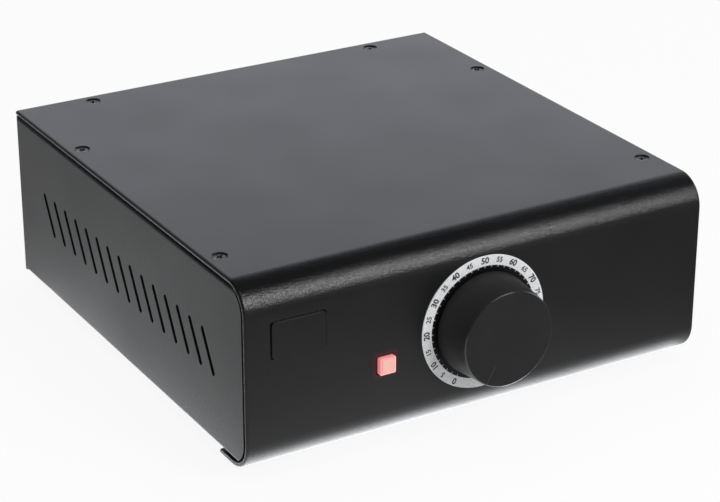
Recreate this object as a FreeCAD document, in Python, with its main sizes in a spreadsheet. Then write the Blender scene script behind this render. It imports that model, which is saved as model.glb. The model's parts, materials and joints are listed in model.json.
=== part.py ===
import FreeCAD, Part
import math
import os
import Sketcher
from types import SimpleNamespace

# A desktop volume controller for studio monitors: a folded steel box with one dial knob, one lit
# mute button, and mains and signal sockets on its back. +X is right, +Y is back, +Z is up. The
# origin lies on the table under the middle of the whole outline.

sizes = {
    # folded casing
    "body_width": 215,
    "body_depth": 219,
    "body_height": 80.3,
    "cover_thickness": 2,
    "cover_bend": 13,
    "lip_depth": 24,
    "seam_gap": 0.6,
    "side_inset": 0.5,
    "chassis_thickness": 1.5,
    "chassis_bend": 2,
    "flange_width": 14,
    "floor_setback": 2,
    "rear_thickness": 1.5,
    "rear_flange_depth": 13,
    "rear_flange_side_gap": 21.5,
    # slanted cooling slots in both side walls
    "slot_count": 15,
    "slot_pitch": 11,
    "slot_width": 2.6,
    "slot_rise": 15.6,
    "slot_lean": 8.6,
    "slot_lift": 1.3,
    "slot_forward": 0.7,
    # flat screws of the cover and the nuts that they turn into
    "cover_screw_head": 6,
    "cover_screw_cone": 1.5,
    "cover_screw_shank": 3,
    "cover_screw_length": 8,
    "cover_screw_sink": 0.15,
    "countersink_rim": 7,
    "countersink_depth": 1.85,
    "screw_clearance": 0.2,
    "socket_flats": 2,
    "socket_depth": 0.9,
    "side_screw_inset": 6.8,
    "front_screw_back": 32.8,
    "middle_screw_back": 161.4,
    "back_screw_side_inset": 35,
    "back_screw_inset": 6.7,
    "lip_screw_side_inset": 37.5,
    "lip_screw_back": 18.5,
    "rivet_head": 7,
    "rivet_body": 5,
    "rivet_length": 9,
    "rivet_fit": 0.1,
    # screws that join the rear panel's lower flange to the floor
    "rear_screw_side_inset": 39.5,
    "rear_screw_head": 5.5,
    "rear_screw_head_height": 1.8,
    "rear_screw_shank": 3,
    "rear_screw_length": 5,
    # feet
    "foot_height": 7,
    "foot_top": 17,
    "foot_bottom": 15,
    "foot_side_inset": 20.5,
    "foot_front_back": 37,
    "foot_rear_inset": 22,
    "foot_web": 3,
    "foot_well": 7.6,
    "foot_screw_head": 7,
    "foot_screw_head_height": 2.4,
    "foot_screw_shank": 4,
    "foot_nut_flats": 7,
    "foot_nut_height": 2.4,
    "foot_screw_spare": 0.8,
    # badge plate
    "badge_width": 24.75,
    "badge_height": 16.3,
    "badge_side_inset": 23.1,
    "badge_drop": 23.85,
    "badge_corner": 1.5,
    "badge_pocket_depth": 0.9,
    "badge_plate_thickness": 0.6,
    "badge_gap": 0.25,
    # dial and knob
    "dial_rise": 1.25,
    "dial_plate_diameter": 57.2,
    "dial_plate_thickness": 0.5,
    "knob_diameter": 41.2,
    "knob_base_diameter": 44.4,
    "knob_projection": 19,
    "knob_gap": 0.6,
    "knob_rim": 0.5,
    "knob_skirt_diameter": 20,
    "knob_skirt_depth": 7.9,
    "knob_rest_turn": 150,
    "pointer_inner": 12.1,
    "pointer_outer": 20.3,
    "pointer_width": 0.9,
    "pointer_depth": 0.4,
    "grub_diameter": 3,
    "grub_length": 7,
    "grub_depth": 11,
    # rotary attenuator
    "shaft_diameter": 6,
    "shaft_slack": 0.06,
    "shaft_front": 15.5,
    "shaft_fit": 0.1,
    "bush_diameter": 9,
    "bush_front": 6,
    "bush_clearance": 0.4,
    "bush_nut_flats": 12,
    "bush_nut_height": 2.4,
    "bush_washer_diameter": 14,
    "bush_washer_thickness": 0.6,
    "bush_plate_thickness": 2,
    "gang_count": 8,
    "gang_pitch": 8,
    "gang_side": 27,
    "gang_cavity": 22,
    "gang_rim_depth": 5.4,
    "gang_floor": 2.2,
    "gang_shaft_hole": 7,
    "wiper_diameter": 21,
    "wiper_thickness": 2.4,
    "tie_spacing": 22.6,
    "tie_diameter": 2.4,
    "tie_clearance": 0.3,
    "tie_head": 4.4,
    "tie_head_height": 1.6,
    "tag_length": 2.5,
    "tag_width": 0.8,
    "tag_spacing": 5,
    "riser_thickness": 1.6,
    "riser_above": 12,
    "riser_lift": 2.5,
    "riser_header_start": 32,
    "riser_header_end": 66,
    # mute button
    "mute_x": 45.5,
    "mute_drop": 7.5,
    "mute_side": 7.7,
    "mute_corner": 0.6,
    "mute_projection": 2.2,
    "mute_step_side": 5.6,
    "mute_step_height": 0.35,
    "mute_cap_depth": 3.6,
    "mute_gap": 0.35,
    "mute_travel": 1.8,
    "plunger_side": 2.2,
    "plunger_fit": 0.1,
    "plunger_socket": 2,
    "plunger_reach": 3.4,
    "plunger_slack": 0.15,
    "switch_side": 9,
    "switch_depth": 8,
    "switch_front": 7.2,
    "spring_diameter": 4.8,
    "spring_wire": 0.3,
    "spring_turns": 4,
    "spring_end_gap": 0.06,
    "lamp_size": 1.2,
    "lamp_height": 0.8,
    "lamp_reach": 3.4,
    # control board
    "control_width": 35,
    "control_height": 36,
    "control_shift": 1,
    "control_lift": 0.7,
    "board_thickness": 1.6,
    "control_hole_inset": 4,
    "standoff_diameter": 5,
    "board_screw_shank": 2.9,
    "board_screw_bite": 4,
    "board_screw_head": 5.4,
    "board_screw_head_height": 1.8,
    "board_screw_fit": 0.1,
    # ribbon cable and headers
    "ribbon_width": 20,
    "ribbon_thickness": 1,
    "ribbon_bend": 7,
    "ribbon_drop": 2,
    "header_length": 8.5,
    "header_side": 6,
    "header_overhang": 3,
    "ribbon_run": 6,
    # main board
    "board_wall_gap": 5.5,
    "board_coil_gap": 7,
    "board_front_back": 22,
    "board_rear_gap": 3,
    "standoff_height": 6.5,
    "board_hole_inset": 5,
    "relay_length": 20,
    "relay_width": 10,
    "relay_height": 11,
    "relay_pitch_x": 21.6,
    "relay_pitch_y": 14,
    "relay_inset": 20,
    "relay_columns": 3,
    "relay_rows": 4,
    "relay_back": 92,
    "capacitor_diameter": 16,
    "capacitor_height": 26,
    "capacitor_pitch": 19,
    "capacitor_inset": 16,
    "capacitor_count": 3,
    "capacitor_back": 51,
    "capacitor_bead": 1,
    "heatsink_width": 16,
    "heatsink_height": 25,
    "heatsink_wing": 9,
    "heatsink_sheet": 1.4,
    "heatsink_pitch": 22,
    "heatsink_inset": 9,
    "heatsink_count": 3,
    "heatsink_back": 62,
    "regulator_width": 10,
    "regulator_height": 15,
    "regulator_thickness": 4.4,
    "regulator_lift": 4,
    "chip_length": 10,
    "chip_width": 6,
    "chip_height": 2.4,
    "chip_pitch": 14,
    "chip_inset": 40,
    "chip_columns": 4,
    "chip_rows": 2,
    "chip_back": 152,
    "terminal_length": 20,
    "terminal_width": 9,
    "terminal_height": 11,
    "terminal_inset": 17.5,
    # toroidal transformer
    "coil_diameter": 70,
    "coil_hole": 22,
    "coil_height": 32,
    "coil_corner": 8,
    "coil_wall_gap": 9,
    "coil_inset": 91,
    "pad_thickness": 2,
    "dish_diameter": 62,
    "dish_thickness": 1.5,
    "coil_bolt": 6,
    "coil_bolt_head": 11,
    "coil_bolt_head_height": 3,
    "coil_nut_flats": 10,
    "coil_nut_height": 5,
    "coil_bolt_spare": 3,
    # mains inlet, seen from behind the box
    "inlet_side_inset": 35.5,
    "inlet_below_power": 26.5,
    "inlet_cavity_width": 24.4,
    "inlet_cavity_height": 16.9,
    "inlet_cavity_depth": 16.5,
    "inlet_corner_cut": 4.5,
    "inlet_wall": 1.8,
    "inlet_web": 1.6,
    "inlet_flange_width": 50,
    "inlet_flange_margin": 2,
    "inlet_flange_thickness": 3,
    "inlet_depth": 20,
    "inlet_screw_x": 20,
    "panel_hole_gap": 0.2,
    "blade_thickness": 2,
    "blade_height": 4,
    "blade_spacing": 14,
    "blade_drop": 2,
    "blade_recess": 2.5,
    "earth_lead": 1,
    "blade_fit": 0.05,
    "tab_length": 8,
    "tab_thickness": 0.8,
    "drawer_width": 25,
    "drawer_height": 7.2,
    "drawer_depth": 16,
    "drawer_gap": 0.2,
    "drawer_lip": 1,
    "drawer_lip_height": 2,
    "fuse_length": 20,
    "fuse_diameter": 5.2,
    "fuse_cap_length": 5,
    "fuse_gap": 0.25,
    "fuse_from_front": 5,
    # power switch
    "power_side_inset": 15.5,
    "power_drop": 14.6,
    "power_bezel_width": 15,
    "power_bezel_height": 21,
    "power_bezel_thickness": 2,
    "power_bezel_corner": 1,
    "power_body_width": 13,
    "power_body_height": 19,
    "power_body_depth": 13,
    "power_well_width": 10.4,
    "power_well_height": 17.8,
    "power_well_depth": 7,
    "rocker_gap": 0.2,
    "rocker_half_height": 7.9,
    "rocker_tip": 1.4,
    "rocker_valley": 0.3,
    "rocker_root": 4,
    "rocker_pivot_depth": 2,
    "rocker_pin": 2,
    "rocker_pin_length": 0.9,
    "rocker_pin_fit": 0.05,
    "rocker_tilt": 11,
    # slide switches: voltage selector and ground lift
    "selector_side_inset": 43.5,
    "selector_drop": 17.1,
    "selector_body_width": 24,
    "selector_body_height": 12,
    "selector_body_depth": 9,
    "selector_lever_width": 7,
    "selector_lever_height": 6,
    "selector_lever_tip": 0.8,
    "selector_travel": 5,
    "lift_side_inset": 79.5,
    "lift_above_sockets": 26.5,
    "lift_body_width": 16,
    "lift_body_height": 8,
    "lift_body_depth": 7,
    "lift_lever_width": 3.6,
    "lift_lever_height": 3.4,
    "lift_lever_tip": 3,
    "lift_travel": 3,
    "slider_wall": 1.2,
    "slider_gap": 0.15,
    "slider_thickness": 3,
    "switch_ear": 6,
    "switch_ear_thickness": 1,
    "switch_pin_length": 4,
    "switch_pin_width": 1,
    "panel_screw_head": 4.6,
    "panel_screw_head_height": 1.3,
    "panel_screw_shank": 2.5,
    # 25-way sockets
    "socket_side_inset": 39.5,
    "socket_pitch": 58,
    "socket_z": 17.5,
    "socket_flange_width": 53,
    "socket_flange_height": 12.5,
    "socket_flange_thickness": 0.8,
    "socket_shell_width": 38.4,
    "socket_shell_height": 7.9,
    "socket_shell_angle": 10,
    "socket_shell_wall": 0.5,
    "socket_shell_projection": 4.2,
    "socket_insert_gap": 0.1,
    "socket_insert_depth": 10,
    "socket_insert_recess": 0.3,
    "socket_pin_pitch": 2.77,
    "socket_row_pitch": 2.84,
    "socket_pin_hole": 1.2,
    "socket_pin_depth": 3,
    "socket_pin_count": 13,
    "jack_spacing": 47.04,
    "jackscrew_flats": 4.8,
    "jackscrew_height": 5,
    "jackscrew_bore": 2.4,
    "jackscrew_shank": 2.9,
    "jackscrew_shank_length": 6,
    # leads
    "lead_diameter": 2.4,
    "lead_bend": 6,
    "lead_drop": 27,
    "lead_coil_gap": 0.2,
    "earth_side_inset": 11.5,
    "earth_lug": 9,
    "earth_lug_thickness": 1,
    "cut_margin": 1,
}

os.makedirs("parts", exist_ok=True)
doc = FreeCAD.newDocument("MonitorController")
sheet = doc.addObject("Spreadsheet::Sheet", "Sizes")
for row, (alias, value) in enumerate(sizes.items(), start=1):
    sheet.set(f"A{row}", alias)
    sheet.set(f"B{row}", str(value))
    sheet.setAlias(f"B{row}", alias)
doc.recompute()


# A length that knows both its value and the sheet formula that gives it.
class Size:
    def __init__(self, value, text):
        self.value = float(value)
        self.text = text

    def __float__(self):
        return self.value

    def __str__(self):
        return self.text

    def __neg__(self):
        return Size(-self.value, f"(0 - {self})")

    def __add__(self, other):
        return Size(self.value + float(other), f"({self} + {other})")

    def __radd__(self, other):
        return Size(float(other) + self.value, f"({other} + {self})")

    def __sub__(self, other):
        return Size(self.value - float(other), f"({self} - {other})")

    def __rsub__(self, other):
        return Size(float(other) - self.value, f"({other} - {self})")

    def __mul__(self, other):
        return Size(self.value * float(other), f"({self} * {other})")

    def __rmul__(self, other):
        return Size(float(other) * self.value, f"({other} * {self})")

    def __truediv__(self, other):
        return Size(self.value / float(other), f"({self} / {other})")


s = SimpleNamespace(**{alias: Size(getattr(sheet, alias), f"Sizes.{alias}") for alias in sizes})
planeRoles = {"XY": "XY_Plane", "XZ": "XZ_Plane", "YZ": "YZ_Plane"}
parts = []


def slope(angle):
    return Size(math.tan(math.radians(float(angle))), f"tan({angle} * 1 deg)")


def bind(item, path, amount):
    item.setExpression(path, str(amount))


# drawing

def newBody(name, at=(0, 0, 0), turn=None):
    body = doc.addObject("PartDesign::Body", name)
    body.Label = name
    if turn:
        axis, angle = turn
        body.Placement = FreeCAD.Placement(FreeCAD.Vector(), FreeCAD.Rotation(axis, float(angle)))
        bind(body, "Placement.Rotation.Angle", f"{angle} * 1 deg")
    for letter, amount in zip("xyz", at):
        bind(body, f"Placement.Base.{letter}", amount)
    parts.append(body)
    return body


def originItem(body, role):
    return [item for item in body.Origin.OriginFeatures if item.Role == role][0]


# level is where the drawing plane cuts the axis that it is square to
def newSketch(body, plane, level=0):
    item = body.newObject("Sketcher::SketchObject", body.Label + "_sketch")
    item.AttachmentSupport = [(originItem(body, planeRoles[plane]), "")]
    item.MapMode = "FlatFace"
    bind(item, "AttachmentOffset.Base.z", 0 - level if plane == "XZ" else level)
    return item


def fix(item, geometry, point, x, y):
    for kind, amount in (("DistanceX", x), ("DistanceY", y)):
        index = item.addConstraint(Sketcher.Constraint(kind, -1, 1, geometry, point, float(amount)))
        bind(item, f"Constraints[{index}]", amount)


def measure(item, kind, geometry, amount):
    index = item.addConstraint(Sketcher.Constraint(kind, geometry, float(amount)))
    bind(item, f"Constraints[{index}]", amount)


def circle(item, x, y, diameter):
    centre = FreeCAD.Vector(float(x), float(y), 0)
    geometry = item.addGeometry(Part.Circle(centre, FreeCAD.Vector(0, 0, 1), float(diameter) / 2))
    fix(item, geometry, 3, x, y)
    measure(item, "Diameter", geometry, diameter)
    return geometry


# the short arc from start to end, turning left for side 1 and right for side -1
def shortArc(start, end, radius, side):
    chord = end - start
    reach = math.sqrt(max(radius ** 2 - (chord.Length / 2) ** 2, 0))
    across = FreeCAD.Vector(-chord.y, chord.x, 0).normalize()
    centre = (start + end) / 2 + across * reach * side
    first, last = (start, end) if side > 0 else (end, start)
    angles = [math.atan2(spot.y - centre.y, spot.x - centre.x) for spot in (first, last)]
    if angles[1] < angles[0]:
        angles[1] += 2 * math.pi
    return Part.ArcOfCircle(Part.Circle(centre, FreeCAD.Vector(0, 0, 1), radius), *angles)


# a closed outline; a corner (x, y, radius, side) starts an arc to the next corner
def outline(item, corners):
    ends = []
    for here, there in zip(corners, corners[1:] + corners[:1]):
        start = FreeCAD.Vector(float(here[0]), float(here[1]), 0)
        end = FreeCAD.Vector(float(there[0]), float(there[1]), 0)
        if len(here) == 2:
            geometry = item.addGeometry(Part.LineSegment(start, end))
            ends.append((geometry, 1, 2))
        else:
            radius, side = here[2:]
            geometry = item.addGeometry(shortArc(start, end, float(radius), side))
            measure(item, "Radius", geometry, radius)
            ends.append((geometry, 1, 2) if side > 0 else (geometry, 2, 1))
    for here, there, corner in zip(ends, ends[1:] + ends[:1], corners):
        fix(item, here[0], here[1], corner[0], corner[1])
        item.addConstraint(Sketcher.Constraint("Coincident", here[0], here[2], there[0], there[1]))


def rectangle(item, left, low, right, high, corner=None):
    if corner is None:
        outline(item, [(left, low), (right, low), (right, high), (left, high)])
        return
    outline(item, [
        (left + corner, low),
        (right - corner, low, corner, 1),
        (right, low + corner),
        (right, high - corner, corner, 1),
        (right - corner, high),
        (left + corner, high, corner, 1),
        (left, high - corner),
        (left, low + corner, corner, 1),
    ])


def centredRectangle(item, x, y, width, height, corner=None):
    rectangle(item, x - width / 2, y - height / 2, x + width / 2, y + height / 2, corner)


def hexagon(item, x, y, flats):
    point = flats / math.sqrt(3)
    outline(item, [
        (x + point, y),
        (x + point / 2, y + flats / 2),
        (x - point / 2, y + flats / 2),
        (x - point, y),
        (x - point / 2, y - flats / 2),
        (x + point / 2, y - flats / 2),
    ])


# a slanted slot with round ends
def slantedSlot(item, lowSpot, highSpot, width):
    low = FreeCAD.Vector(float(lowSpot[0]), float(lowSpot[1]), 0)
    high = FreeCAD.Vector(float(highSpot[0]), float(highSpot[1]), 0)
    radius = width / 2
    along = (high - low).normalize()
    side = FreeCAD.Vector(along.y, -along.x, 0) * float(radius)
    heading = math.atan2(side.y, side.x)
    up = FreeCAD.Vector(0, 0, 1)
    top = item.addGeometry(Part.ArcOfCircle(
        Part.Circle(high, up, float(radius)), heading, heading + math.pi))
    left = item.addGeometry(Part.LineSegment(high - side, low - side))
    bottom = item.addGeometry(Part.ArcOfCircle(
        Part.Circle(low, up, float(radius)), heading + math.pi, heading + 2 * math.pi))
    right = item.addGeometry(Part.LineSegment(low + side, high + side))
    for first, firstEnd, second, secondEnd in (
            (top, 2, left, 1), (left, 2, bottom, 1), (bottom, 2, right, 1), (right, 2, top, 1)):
        item.addConstraint(Sketcher.Constraint("Tangent", first, firstEnd, second, secondEnd))
    fix(item, top, 3, *highSpot)
    fix(item, bottom, 3, *lowSpot)
    measure(item, "Radius", top, radius)
    item.addConstraint(Sketcher.Constraint("Equal", top, bottom))


# features: each runs from its sketch towards the plus side of the axis

def planeOf(item):
    return item.AttachmentSupport[0][0].Role[:2]


def pad(body, item, length, taper=None):
    feature = body.newObject("PartDesign::Pad", body.Label + "_pad")
    feature.Profile = item
    feature.Reversed = planeOf(item) == "XZ"
    bind(feature, "Length", length)
    if taper is not None:
        bind(feature, "TaperAngle", taper)
    return feature


def pocket(body, item, length, taper=None):
    feature = body.newObject("PartDesign::Pocket", body.Label + "_pocket")
    feature.Profile = item
    feature.Reversed = planeOf(item) != "XZ"
    bind(feature, "Length", length)
    if taper is not None:
        bind(feature, "TaperAngle", taper)
    return feature


# turns a profile drawn on XY round Y, or one drawn on XZ round Z
def revolve(body, item, kind="Revolution"):
    feature = body.newObject("PartDesign::" + kind, body.Label + "_turned")
    feature.Profile = item
    feature.ReferenceAxis = (item, ["V_Axis"])
    feature.Angle = 360
    return feature


# turns a profile drawn on XZ round the upright line at x
def turnOnUpright(body, item, x, level, kind):
    foot = FreeCAD.Vector(float(x), 0, 0)
    head = FreeCAD.Vector(float(x), float(level), 0)
    axis = item.addGeometry(Part.LineSegment(foot, head), True)
    item.addConstraint(Sketcher.Constraint("Vertical", axis))
    fix(item, axis, 1, x, 0)
    feature = body.newObject("PartDesign::" + kind, body.Label + "_turned")
    feature.Profile = item
    feature.ReferenceAxis = (item, ["Axis0"])
    feature.Angle = 360


def repeat(body, features, role, pitch, count):
    doc.recompute()
    feature = body.newObject("PartDesign::LinearPattern", body.Label + "_row")
    feature.Originals = features
    feature.Direction = (originItem(body, role), [""])
    bind(feature, "Length", pitch * (count - 1))
    bind(feature, "Occurrences", count)
    body.Tip = feature
    return feature


# pads the same drawing at several places, so that each place gets a solid of its own
def padSpots(body, plane, level, spots, draw, length, taper=None):
    item = newSketch(body, plane, level)
    for spot in spots:
        draw(item, spot[0], spot[1])
    return pad(body, item, length, taper)


def pocketSpots(body, plane, level, spots, draw, length, taper=None):
    item = newSketch(body, plane, level)
    for spot in spots:
        draw(item, spot[0], spot[1])
    return pocket(body, item, length, taper)


def disc(diameter):
    return lambda item, x, y: circle(item, x, y, diameter)


def block(width, height, corner=None):
    return lambda item, x, y: centredRectangle(item, x, y, width, height, corner)


def nutShape(flats, bore):
    def draw(item, x, y):
        hexagon(item, x, y, flats)
        circle(item, x, y, bore)
    return draw


# shared places

front = (s.knob_projection - s.body_depth - s.jackscrew_height) / 2
rear = front + s.body_depth
middle = front + s.body_depth / 2
base = s.foot_height
deck = base + s.chassis_thickness
sill = base - s.cover_thickness - s.seam_gap
roof = sill + s.body_height
crown = roof - s.cover_thickness - s.seam_gap
halfWidth = s.body_width / 2
wall = halfWidth - s.side_inset
halfHeight = (sill + roof) / 2
dialZ = halfHeight + s.dial_rise
muteZ = dialZ - s.mute_drop
badgeSpot = (s.badge_side_inset - halfWidth, roof - s.badge_drop)
bendBack = front + s.cover_bend
rearInner = rear - s.rear_thickness
tieSpots = [(-s.tie_spacing / 2, -s.tie_spacing / 2), (s.tie_spacing / 2, s.tie_spacing / 2)]
sideScrewX = halfWidth - s.side_screw_inset
sideScrews = [
    (side * sideScrewX, front + back)
    for side in (-1, 1) for back in (s.front_screw_back, s.middle_screw_back)]
backScrewX = halfWidth - s.back_screw_side_inset
backScrews = [(side * backScrewX, rear - s.back_screw_inset) for side in (-1, 1)]
lipScrewX = halfWidth - s.lip_screw_side_inset
lipScrews = [(side * lipScrewX, front + s.lip_screw_back) for side in (-1, 1)]
rearScrewX = halfWidth - s.rear_screw_side_inset
rearScrews = [
    (side * rearScrewX, rearInner - s.rear_flange_depth / 2) for side in (-1, 0, 1)]
footX = halfWidth - s.foot_side_inset
footSpots = [
    (side * footX, y)
    for side in (-1, 1) for y in (front + s.foot_front_back, rear - s.foot_rear_inset)]
screwHole = s.cover_screw_shank + 2 * s.screw_clearance
coilX = wall - s.chassis_thickness - s.coil_wall_gap - s.coil_diameter / 2
coilY = rear - s.coil_inset
earthSpot = (halfWidth - s.earth_side_inset, rear - s.inlet_depth - s.tab_length - 2 * s.lead_bend)


# casing

# one bent sheet: top, front and a lip under the front
def buildCover():
    body = newBody("cover")
    sheetWidth = s.cover_thickness
    bend = s.cover_bend
    inner = bend - sheetWidth
    item = newSketch(body, "YZ", -halfWidth)
    outline(item, [
        (rear, roof),
        (bendBack, roof, bend, 1),
        (front, roof - bend),
        (front, sill + bend, bend, 1),
        (bendBack, sill),
        (front + s.lip_depth, sill),
        (front + s.lip_depth, sill + sheetWidth),
        (bendBack, sill + sheetWidth, inner, -1),
        (front + sheetWidth, sill + bend),
        (front + sheetWidth, roof - bend, inner, -1),
        (bendBack, roof - sheetWidth),
        (rear, roof - sheetWidth),
    ])
    pad(body, item, s.body_width)
    through = sheetWidth + 2 * s.cut_margin
    topSpots = sideScrews + backScrews
    pocketSpots(body, "XY", roof - sheetWidth - s.cut_margin, topSpots, disc(screwHole), through)
    pocketSpots(body, "XY", sill - s.cut_margin, lipScrews, disc(screwHole), through)
    countersink(body, roof, topSpots, -1)
    countersink(body, sill, lipScrews, 1)
    badgeShape = block(s.badge_width, s.badge_height, s.badge_corner)
    pocketSpots(body, "XZ", front, [badgeSpot], badgeShape, s.badge_pocket_depth)
    item = newSketch(body, "XZ", front - s.cut_margin)
    muteHole = s.mute_side + 2 * s.mute_gap
    centredRectangle(item, -s.mute_x, muteZ, muteHole, muteHole, s.mute_corner + s.mute_gap)
    circle(item, 0, dialZ, s.bush_diameter + s.bush_clearance)
    pocket(body, item, through)


# cone seats for flat screws, turned round each screw's own axis
def countersink(body, level, spots, side):
    rim = s.countersink_rim / 2
    hole = screwHole / 2
    for x, y in spots:
        item = newSketch(body, "XZ", y)
        outline(item, [
            (x, level + side * s.countersink_depth),
            (x + hole, level + side * s.countersink_depth),
            (x + rim, level),
            (x, level),
        ])
        turnOnUpright(body, item, x, level, "Groove")


# flat screws: a cone head, a shank and a hexagon socket; side is -1 where the shank points down
def addFlatScrews(body, level, spots, side):
    head = s.cover_screw_head / 2
    shank = s.cover_screw_shank / 2
    start = level + side * s.cover_screw_sink
    for x, y in spots:
        item = newSketch(body, "XZ", y)
        outline(item, [
            (x, start),
            (x + head, start),
            (x + shank, start + side * s.cover_screw_cone),
            (x + shank, start + side * s.cover_screw_length),
            (x, start + side * s.cover_screw_length),
        ])
        turnOnUpright(body, item, x, level, "Revolution")
    low = start - s.socket_depth if side < 0 else start - s.cut_margin
    draw = lambda item, x, y: hexagon(item, x, y, s.socket_flats)
    pocketSpots(body, "XY", low, spots, draw, s.socket_depth + s.cut_margin)


def buildCoverScrews():
    body = newBody("cover_screws")
    addFlatScrews(body, roof, sideScrews + backScrews, -1)
    addFlatScrews(body, sill, lipScrews, 1)


# nuts set in the chassis flanges and floor; their heads keep the cover off the chassis
def buildRivetNuts():
    body = newBody("rivet_nuts")
    bore = s.cover_screw_shank + s.rivet_fit

    def ring(diameter):
        def draw(item, x, y):
            circle(item, x, y, diameter)
            circle(item, x, y, bore)
        return draw

    topSpots = sideScrews + backScrews
    padSpots(body, "XY", crown, topSpots, ring(s.rivet_head), s.seam_gap)
    padSpots(body, "XY", crown - s.rivet_length, topSpots, ring(s.rivet_body), s.rivet_length)
    padSpots(body, "XY", base - s.seam_gap, lipScrews, ring(s.rivet_head), s.seam_gap)
    padSpots(body, "XY", base, lipScrews, ring(s.rivet_body), s.rivet_length)


# floor, side walls and top flanges folded from one sheet
def buildChassis():
    body = newBody("chassis_tray")
    skin = s.chassis_thickness
    bend = s.chassis_bend
    inner = bend - skin
    start = front + s.cover_thickness + s.seam_gap
    item = newSketch(body, "XZ", start)
    edge = wall - s.flange_width
    outline(item, [
        (-edge, crown),
        (-wall + bend, crown, bend, 1),
        (-wall, crown - bend),
        (-wall, base + bend, bend, 1),
        (-wall + bend, base),
        (wall - bend, base, bend, 1),
        (wall, base + bend),
        (wall, crown - bend, bend, 1),
        (wall - bend, crown),
        (edge, crown),
        (edge, crown - skin),
        (wall - bend, crown - skin, inner, -1),
        (wall - skin, crown - bend),
        (wall - skin, base + bend, inner, -1),
        (wall - bend, deck),
        (-wall + bend, deck, inner, -1),
        (-wall + skin, base + bend),
        (-wall + skin, crown - bend, inner, -1),
        (-wall + bend, crown - skin),
        (-edge, crown - skin),
    ])
    pad(body, item, rearInner - start)
    # the floor and the flanges stop behind the cover's bends, and the walls follow them
    outside = s.cut_margin
    corner = s.cover_bend - s.cover_thickness - s.seam_gap
    item = newSketch(body, "YZ", -halfWidth)
    outline(item, [
        (start, crown - corner),
        (start - outside, crown - corner),
        (start - outside, crown + outside),
        (bendBack, crown + outside),
        (bendBack, crown, corner, 1),
    ])
    outline(item, [
        (start - outside, base - outside),
        (start - outside, base + corner),
        (start, base + corner, corner, 1),
        (bendBack, base),
        (bendBack, base - outside),
    ])
    pocket(body, item, s.body_width)
    item = newSketch(body, "YZ", bend - wall)
    stop = bendBack + s.floor_setback
    rectangle(item, start - outside, base - outside, stop, deck + outside)
    rectangle(item, start - outside, crown - skin - outside, stop, crown + outside)
    pocket(body, item, 2 * (wall - bend))
    # slots
    firstSlot = middle - s.slot_forward - s.slot_pitch * (s.slot_count - 1) / 2
    item = newSketch(body, "YZ", -halfWidth)
    slotZ = halfHeight + s.slot_lift
    slantedSlot(
        item,
        (firstSlot - s.slot_lean / 2, slotZ - s.slot_rise / 2),
        (firstSlot + s.slot_lean / 2, slotZ + s.slot_rise / 2),
        s.slot_width)
    slot = pocket(body, item, s.body_width)
    repeat(body, [slot], "Y_Axis", s.slot_pitch, s.slot_count)
    # holes
    item = newSketch(body, "XY", base - outside)
    for x, y in footSpots:
        circle(item, x, y, s.foot_screw_shank + 2 * s.screw_clearance)
    for x, y in rearScrews:
        circle(item, x, y, s.rear_screw_shank + 2 * s.screw_clearance)
    for x, y in lipScrews:
        circle(item, x, y, s.rivet_body + s.rivet_fit)
    circle(item, coilX, coilY, s.coil_bolt + 2 * s.screw_clearance)
    circle(item, *earthSpot, s.foot_screw_shank + 2 * s.screw_clearance)
    pocket(body, item, skin + 2 * outside)
    level = crown - skin - outside
    hole = disc(s.rivet_body + s.rivet_fit)
    pocketSpots(body, "XY", level, sideScrews, hole, skin + 2 * outside)


# back plate with an upper and a lower flange
def buildRearPanel():
    body = newBody("rear_panel")
    item = newSketch(body, "XZ", rearInner)
    rectangle(item, -wall, base, wall, crown)
    pad(body, item, s.rear_thickness)
    flange = halfWidth - s.rear_flange_side_gap
    item = newSketch(body, "XZ", rearInner - s.rear_flange_depth)
    rectangle(item, -flange, crown - s.rear_thickness, flange, crown)
    rectangle(item, -flange, deck, flange, deck + s.rear_thickness)
    pad(body, item, s.rear_flange_depth)
    item = newSketch(body, "XZ", rearInner - s.cut_margin)
    gap = s.panel_hole_gap
    for x in socketPlaces:
        width = s.socket_shell_width + 2 * s.socket_shell_wall + 2 * gap
        height = s.socket_shell_height + 2 * s.socket_shell_wall + 2 * gap
        centredRectangle(item, x, socketZ, width, height)
        for side in (-1, 1):
            circle(item, x + side * s.jack_spacing / 2, socketZ, jackHole)
    rectangle(
        item, inletX - inletHalf - gap, inletLow - gap, inletX + inletHalf + gap,
        inletHigh + gap)
    for side in (-1, 1):
        circle(item, inletX + side * s.inlet_screw_x, inletMiddle, screwHole)
    powerWidth = s.power_body_width + 2 * gap
    centredRectangle(item, powerX, powerZ, powerWidth, s.power_body_height + 2 * gap)
    for place in slideSwitches:
        slot = place.lever_width + place.travel + 2 * gap
        centredRectangle(item, place.x, place.z, slot, place.lever_height + 2 * gap)
        for side in (-1, 1):
            circle(item, place.x + side * place.ear_spacing / 2, place.z, panelScrewHole)
    pocket(body, item, s.rear_thickness + 2 * s.cut_margin)
    level = crown - s.rear_thickness - s.cut_margin
    deep = s.rear_thickness + 2 * s.cut_margin
    pocketSpots(body, "XY", level, backScrews, disc(s.rivet_body + s.rivet_fit), deep)
    hole = s.rear_screw_shank + s.board_screw_fit
    pocketSpots(body, "XY", deck - s.cut_margin, rearScrews, disc(hole), deep)


def buildBadgePlate():
    body = newBody("badge_plate")
    gap = s.badge_gap
    shape = block(s.badge_width - 2 * gap, s.badge_height - 2 * gap, s.badge_corner - gap)
    level = front + s.badge_pocket_depth - s.badge_plate_thickness
    padSpots(body, "XZ", level, [badgeSpot], shape, s.badge_plate_thickness)


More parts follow.
